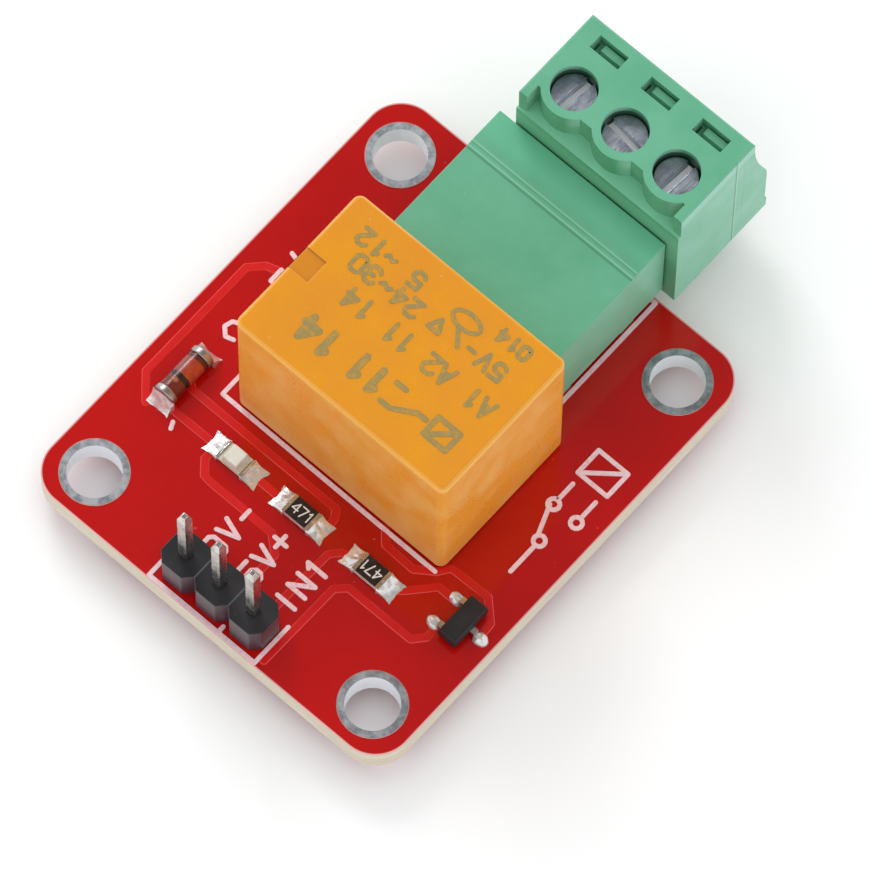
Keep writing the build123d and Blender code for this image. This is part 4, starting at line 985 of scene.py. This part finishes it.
# White print: outlines, place marks, a relay sign and the pins' words
printLook = {"width": 0.28, "words": 0.29, "height": 0.06, "shoulder": 0.02, "sunk": 0.01, "letter": 1.3}
boxedHeader = [[(-4.05, -15.56), (-4.05, -12.7)], [(-4.05, -15.56), (3.9, -15.56), (3.9, -12.7)],
               [(1.15, -15.56), (1.15, -15.1)]]
boxedRelay = [[(-8.27, 6.5), (-8.27, -4.66), (7.85, -4.74)], [(6.4, 6.6), (6.4, 15.8), (5.6, 15.8)]]
placeMarks = [[(-10.3, -0.8), (-10.8, -1.0), (-10.95, -1.5), (-10.5, -1.95), (-10.0, -1.8)],
              [(-10.2, 2.3), (-10.85, 2.3), (-10.85, 3.2), (-10.2, 3.1)], [(-11.07, 4.37), (-10.4, 4.2)],
              [(-9.23, -7.8), (-9.05, -8.18)]]
relaySign = [
    [(11.0, -1.9), (11.0, 0.2)], ring((11.0, 0.55), 0.35, 0.35, 12), [(10.7, 0.8), (10.0, 2.6)],
    ring((10.15, 2.75), 0.35, 0.35, 12), ring((11.85, 2.75), 0.35, 0.35, 12), [(10.15, 3.1), (10.15, 4.4)],
    [(11.85, 3.1), (11.85, 4.4)], [(9.9, 5.1), (12.1, 5.1), (12.1, 6.9), (9.9, 6.9), (9.9, 5.1)],
    [(9.9, 5.1), (12.1, 6.9)],
]
pinWords = [path for words, start in (("0V-", (-1.75, -12.3)), ("5V+", (0.8, -12.2)), ("IN1", (3.45, -12.1)))
            for path in written(words, start, (0, 1), (-1, 0), printLook["letter"], 1.5)]
drawOn("circuit_board", "boardPrint", boxedHeader + boxedRelay + placeMarks + relaySign, boardTop, printLook,
       "whitePrint")
drawOn("circuit_board", "boardWords", pinWords, boardTop, printLook, "whitePrint", "words")

# The copper under the board: wide for the switched side, thin for the coil and the header
underLook = {"power": 1.6, "coil": 0.6, "height": 0.05, "shoulder": -0.12, "sunk": 0.04}
powerTraces = [
    [(-5.76, 0.78), (-0.5, 0.78), (1.05, 2.4), (1.05, 8.1)],
    [(6.24, -2.62), (9.0, 0.2), (9.0, 9.6), (6.6, 12.0), (-1.2, 12.0), (-2.76, 10.4), (-2.76, 8.1)],
    [(6.24, 4.18), (4.86, 5.6), (4.86, 8.1)],
]
coilTraces = [
    [(-3.86, 4.28), (-9.0, 4.28), (-11.9, 1.4), (-11.9, -8.2)],
    [(-3.86, -2.72), (-3.86, -6.4), (8.6, -6.4), (11.2, -9.0)],
    [(-2.64, -13.95), (-2.64, -10.4), (5.0, -10.4), (7.6, -9.2)],
]
for name, paths, width in (("powerTraces", powerTraces, "power"), ("coilTraces", coilTraces, "coil")):
    drawOn("circuit_board", name, paths, 0.0, underLook, "maskedCopper", width)

# Marks on the relay's top: a contact diagram with its pin figures, read from behind the module
inkLook = {"bold": 0.46, "width": 0.34, "thin": 0.27, "height": 0.03, "shoulder": 0.01, "sunk": 0.016}
right, away = (-1, 0), (0, -1)
diagram = [
    [(6.5, -1.2), (6.5, -2.5), (4.9, -2.5), (4.9, -1.2), (6.5, -1.2)], [(6.2, -1.4), (5.2, -2.3)],
    [(4.5, -1.8), (3.9, -1.8), (2.7, -2.5)], [(2.5, -1.2), (1.8, -1.2)], [(2.5, -2.6), (1.8, -2.6)],
]
boldFigures = written("11", (1.3, -1.15), right, away, 1.45, 1.3)
boldFigures += written("14", (-2.2, -1.3), right, away, 1.45, 1.3)
wideRow = written("A1 A2 11 14", (6.9, 1.45), right, away, 1.15, 1.3)
lowRows = [path for words, start, height in (
    ("5V-", (5.9, 3.5), 1.0), ("24~30", (-0.1, 3.25), 1.05), ("014", (6.2, 5.2), 0.8),
    ("5 ~12", (-1.1, 4.65), 1.0))
    for path in written(words, start, right, away, height)]
lowRows += [ring((2.3, 4.1), 0.95, 0.5), [(2.9, 2.6), (2.2, 3.5)],
            [(1.6, 2.5), (0.8, 2.5), (1.2, 3.3), (1.6, 2.5)]]
for name, paths, width in (("relayDiagram", diagram, "width"), ("relayBoldFigures", boldFigures, "bold"),
                           ("relayWideRow", wideRow, "thin"), ("relayLowRows", lowRows, "thin")):
    drawOn("relay_cover", name, paths, relayHigh.z, inkLook, "caseInk", width)

# Value figures on the two chip resistors, the second one soldered the other way round
chipFigures = {"letter": 0.62, "inset": 0.62, "width": 0.09, "height": 0.006, "shoulder": 0.005,
               "sunk": 0.002}
for number, turn in ((1, 1), (2, -1)):
    node = f"resistor_{number}_body"
    low, high = boxOf(node)
    middle = (low + high) / 2
    start = (middle.x - turn * chipFigures["inset"], middle.y - turn * chipFigures["letter"] / 2)
    paths = written("471", start, (turn, 0), (0, turn), chipFigures["letter"], 1.2)
    drawOn(node, f"resistorFigures_{number}", paths, high.z, chipFigures, "chipInk")
print("traces and print drawn")

# Camera as the photograph was taken: a long lens, from above and to the right of the header's side
view = {"azimuth": 40.669, "elevation": 68.461, "roll": 0.897, "distance": 0.6, "lens": 439.3, "sensor": 36,
        "target": Vector((2.364, 1.455, 1.6)) * mm, "near": 0.05, "far": 20}
azimuth, elevation, roll = (math.radians(view[key]) for key in ("azimuth", "elevation", "roll"))
back = Vector((math.sin(azimuth) * math.cos(elevation), -math.cos(azimuth) * math.cos(elevation),
               math.sin(elevation)))
side = Vector((math.cos(azimuth), math.sin(azimuth), 0))
upward = back.cross(side)
levelSide = side * math.cos(roll) + upward * math.sin(roll)
levelUp = upward * math.cos(roll) - side * math.sin(roll)
camera = bpy.data.objects.new("camera", bpy.data.cameras.new("camera"))
camera.data.lens, camera.data.sensor_width = view["lens"], view["sensor"]
camera.data.clip_start, camera.data.clip_end = view["near"], view["far"]
turned = Matrix((levelSide, levelUp, back)).transposed().to_4x4()
camera.matrix_world = Matrix.Translation(view["target"] + back * view["distance"]) @ turned
bpy.context.scene.collection.objects.link(camera)
bpy.context.scene.camera = camera

# Studio: pale floor, one soft light from the left and a bright surround whose top gloss sees as dim
studio = {"floor": paint(250, 250, 250), "floorShade": paint(246, 247, 248), "floorSize": 1.5, "key": 1.7,
          "keySize": 0.3, "keyFrom": Vector((-0.52, 0.3, 0.5)), "surround": 1.0, "glossWall": 1.0,
          "glossTop": 0.22}
shape = bmesh.new()
bmesh.ops.create_grid(shape, x_segments=4, y_segments=4, size=studio["floorSize"] / 2)
floorMesh = meshOf(shape, "floor")
floorMesh.transform(Matrix.Translation((0, 0, leadEnd * mm)))
material, tree, shader, place = newFinish("paleSheet", Roughness=0.6)
tree.links.new(blend(tree, noise(tree, place, 40, 3.0), studio["floor"], studio["floorShade"], fieldSpan),
               shader.inputs["Base Color"])
floorMesh.materials.append(material)
floor = bpy.data.objects.new("floor", floorMesh)
bpy.context.scene.collection.objects.link(floor)

lamp = bpy.data.lights.new("keyLight", "AREA")
lamp.shape, lamp.size, lamp.energy = "SQUARE", studio["keySize"], studio["key"]
lampObject = bpy.data.objects.new("keyLight", lamp)
lampObject.location = studio["keyFrom"]
lampObject.rotation_euler = (studio["keyFrom"] - view["target"]).to_track_quat("Z", "Y").to_euler()
bpy.context.scene.collection.objects.link(lampObject)

world = bpy.data.worlds.new("surround")
world.use_nodes = True
tree = world.node_tree
sky, rays = tree.nodes["Background"], addNode(tree, "ShaderNodeLightPath")
wayUp = split(tree, addNode(tree, "ShaderNodeTexCoord").outputs["Generated"])[2]
glossy = remap(tree, wayUp, 0.45, 0.9, studio["glossWall"], studio["glossTop"])
glow = outOf(tree, "ShaderNodeMix", {0: rays.outputs["Is Glossy Ray"], 2: studio["surround"], 3: glossy})
tree.links.new(glow, sky.inputs["Strength"])
sky.inputs["Color"].default_value = (1, 1, 1, 1)
bpy.context.scene.world = world
bpy.context.scene.view_settings.view_transform = "Standard"
print("camera and studio set")
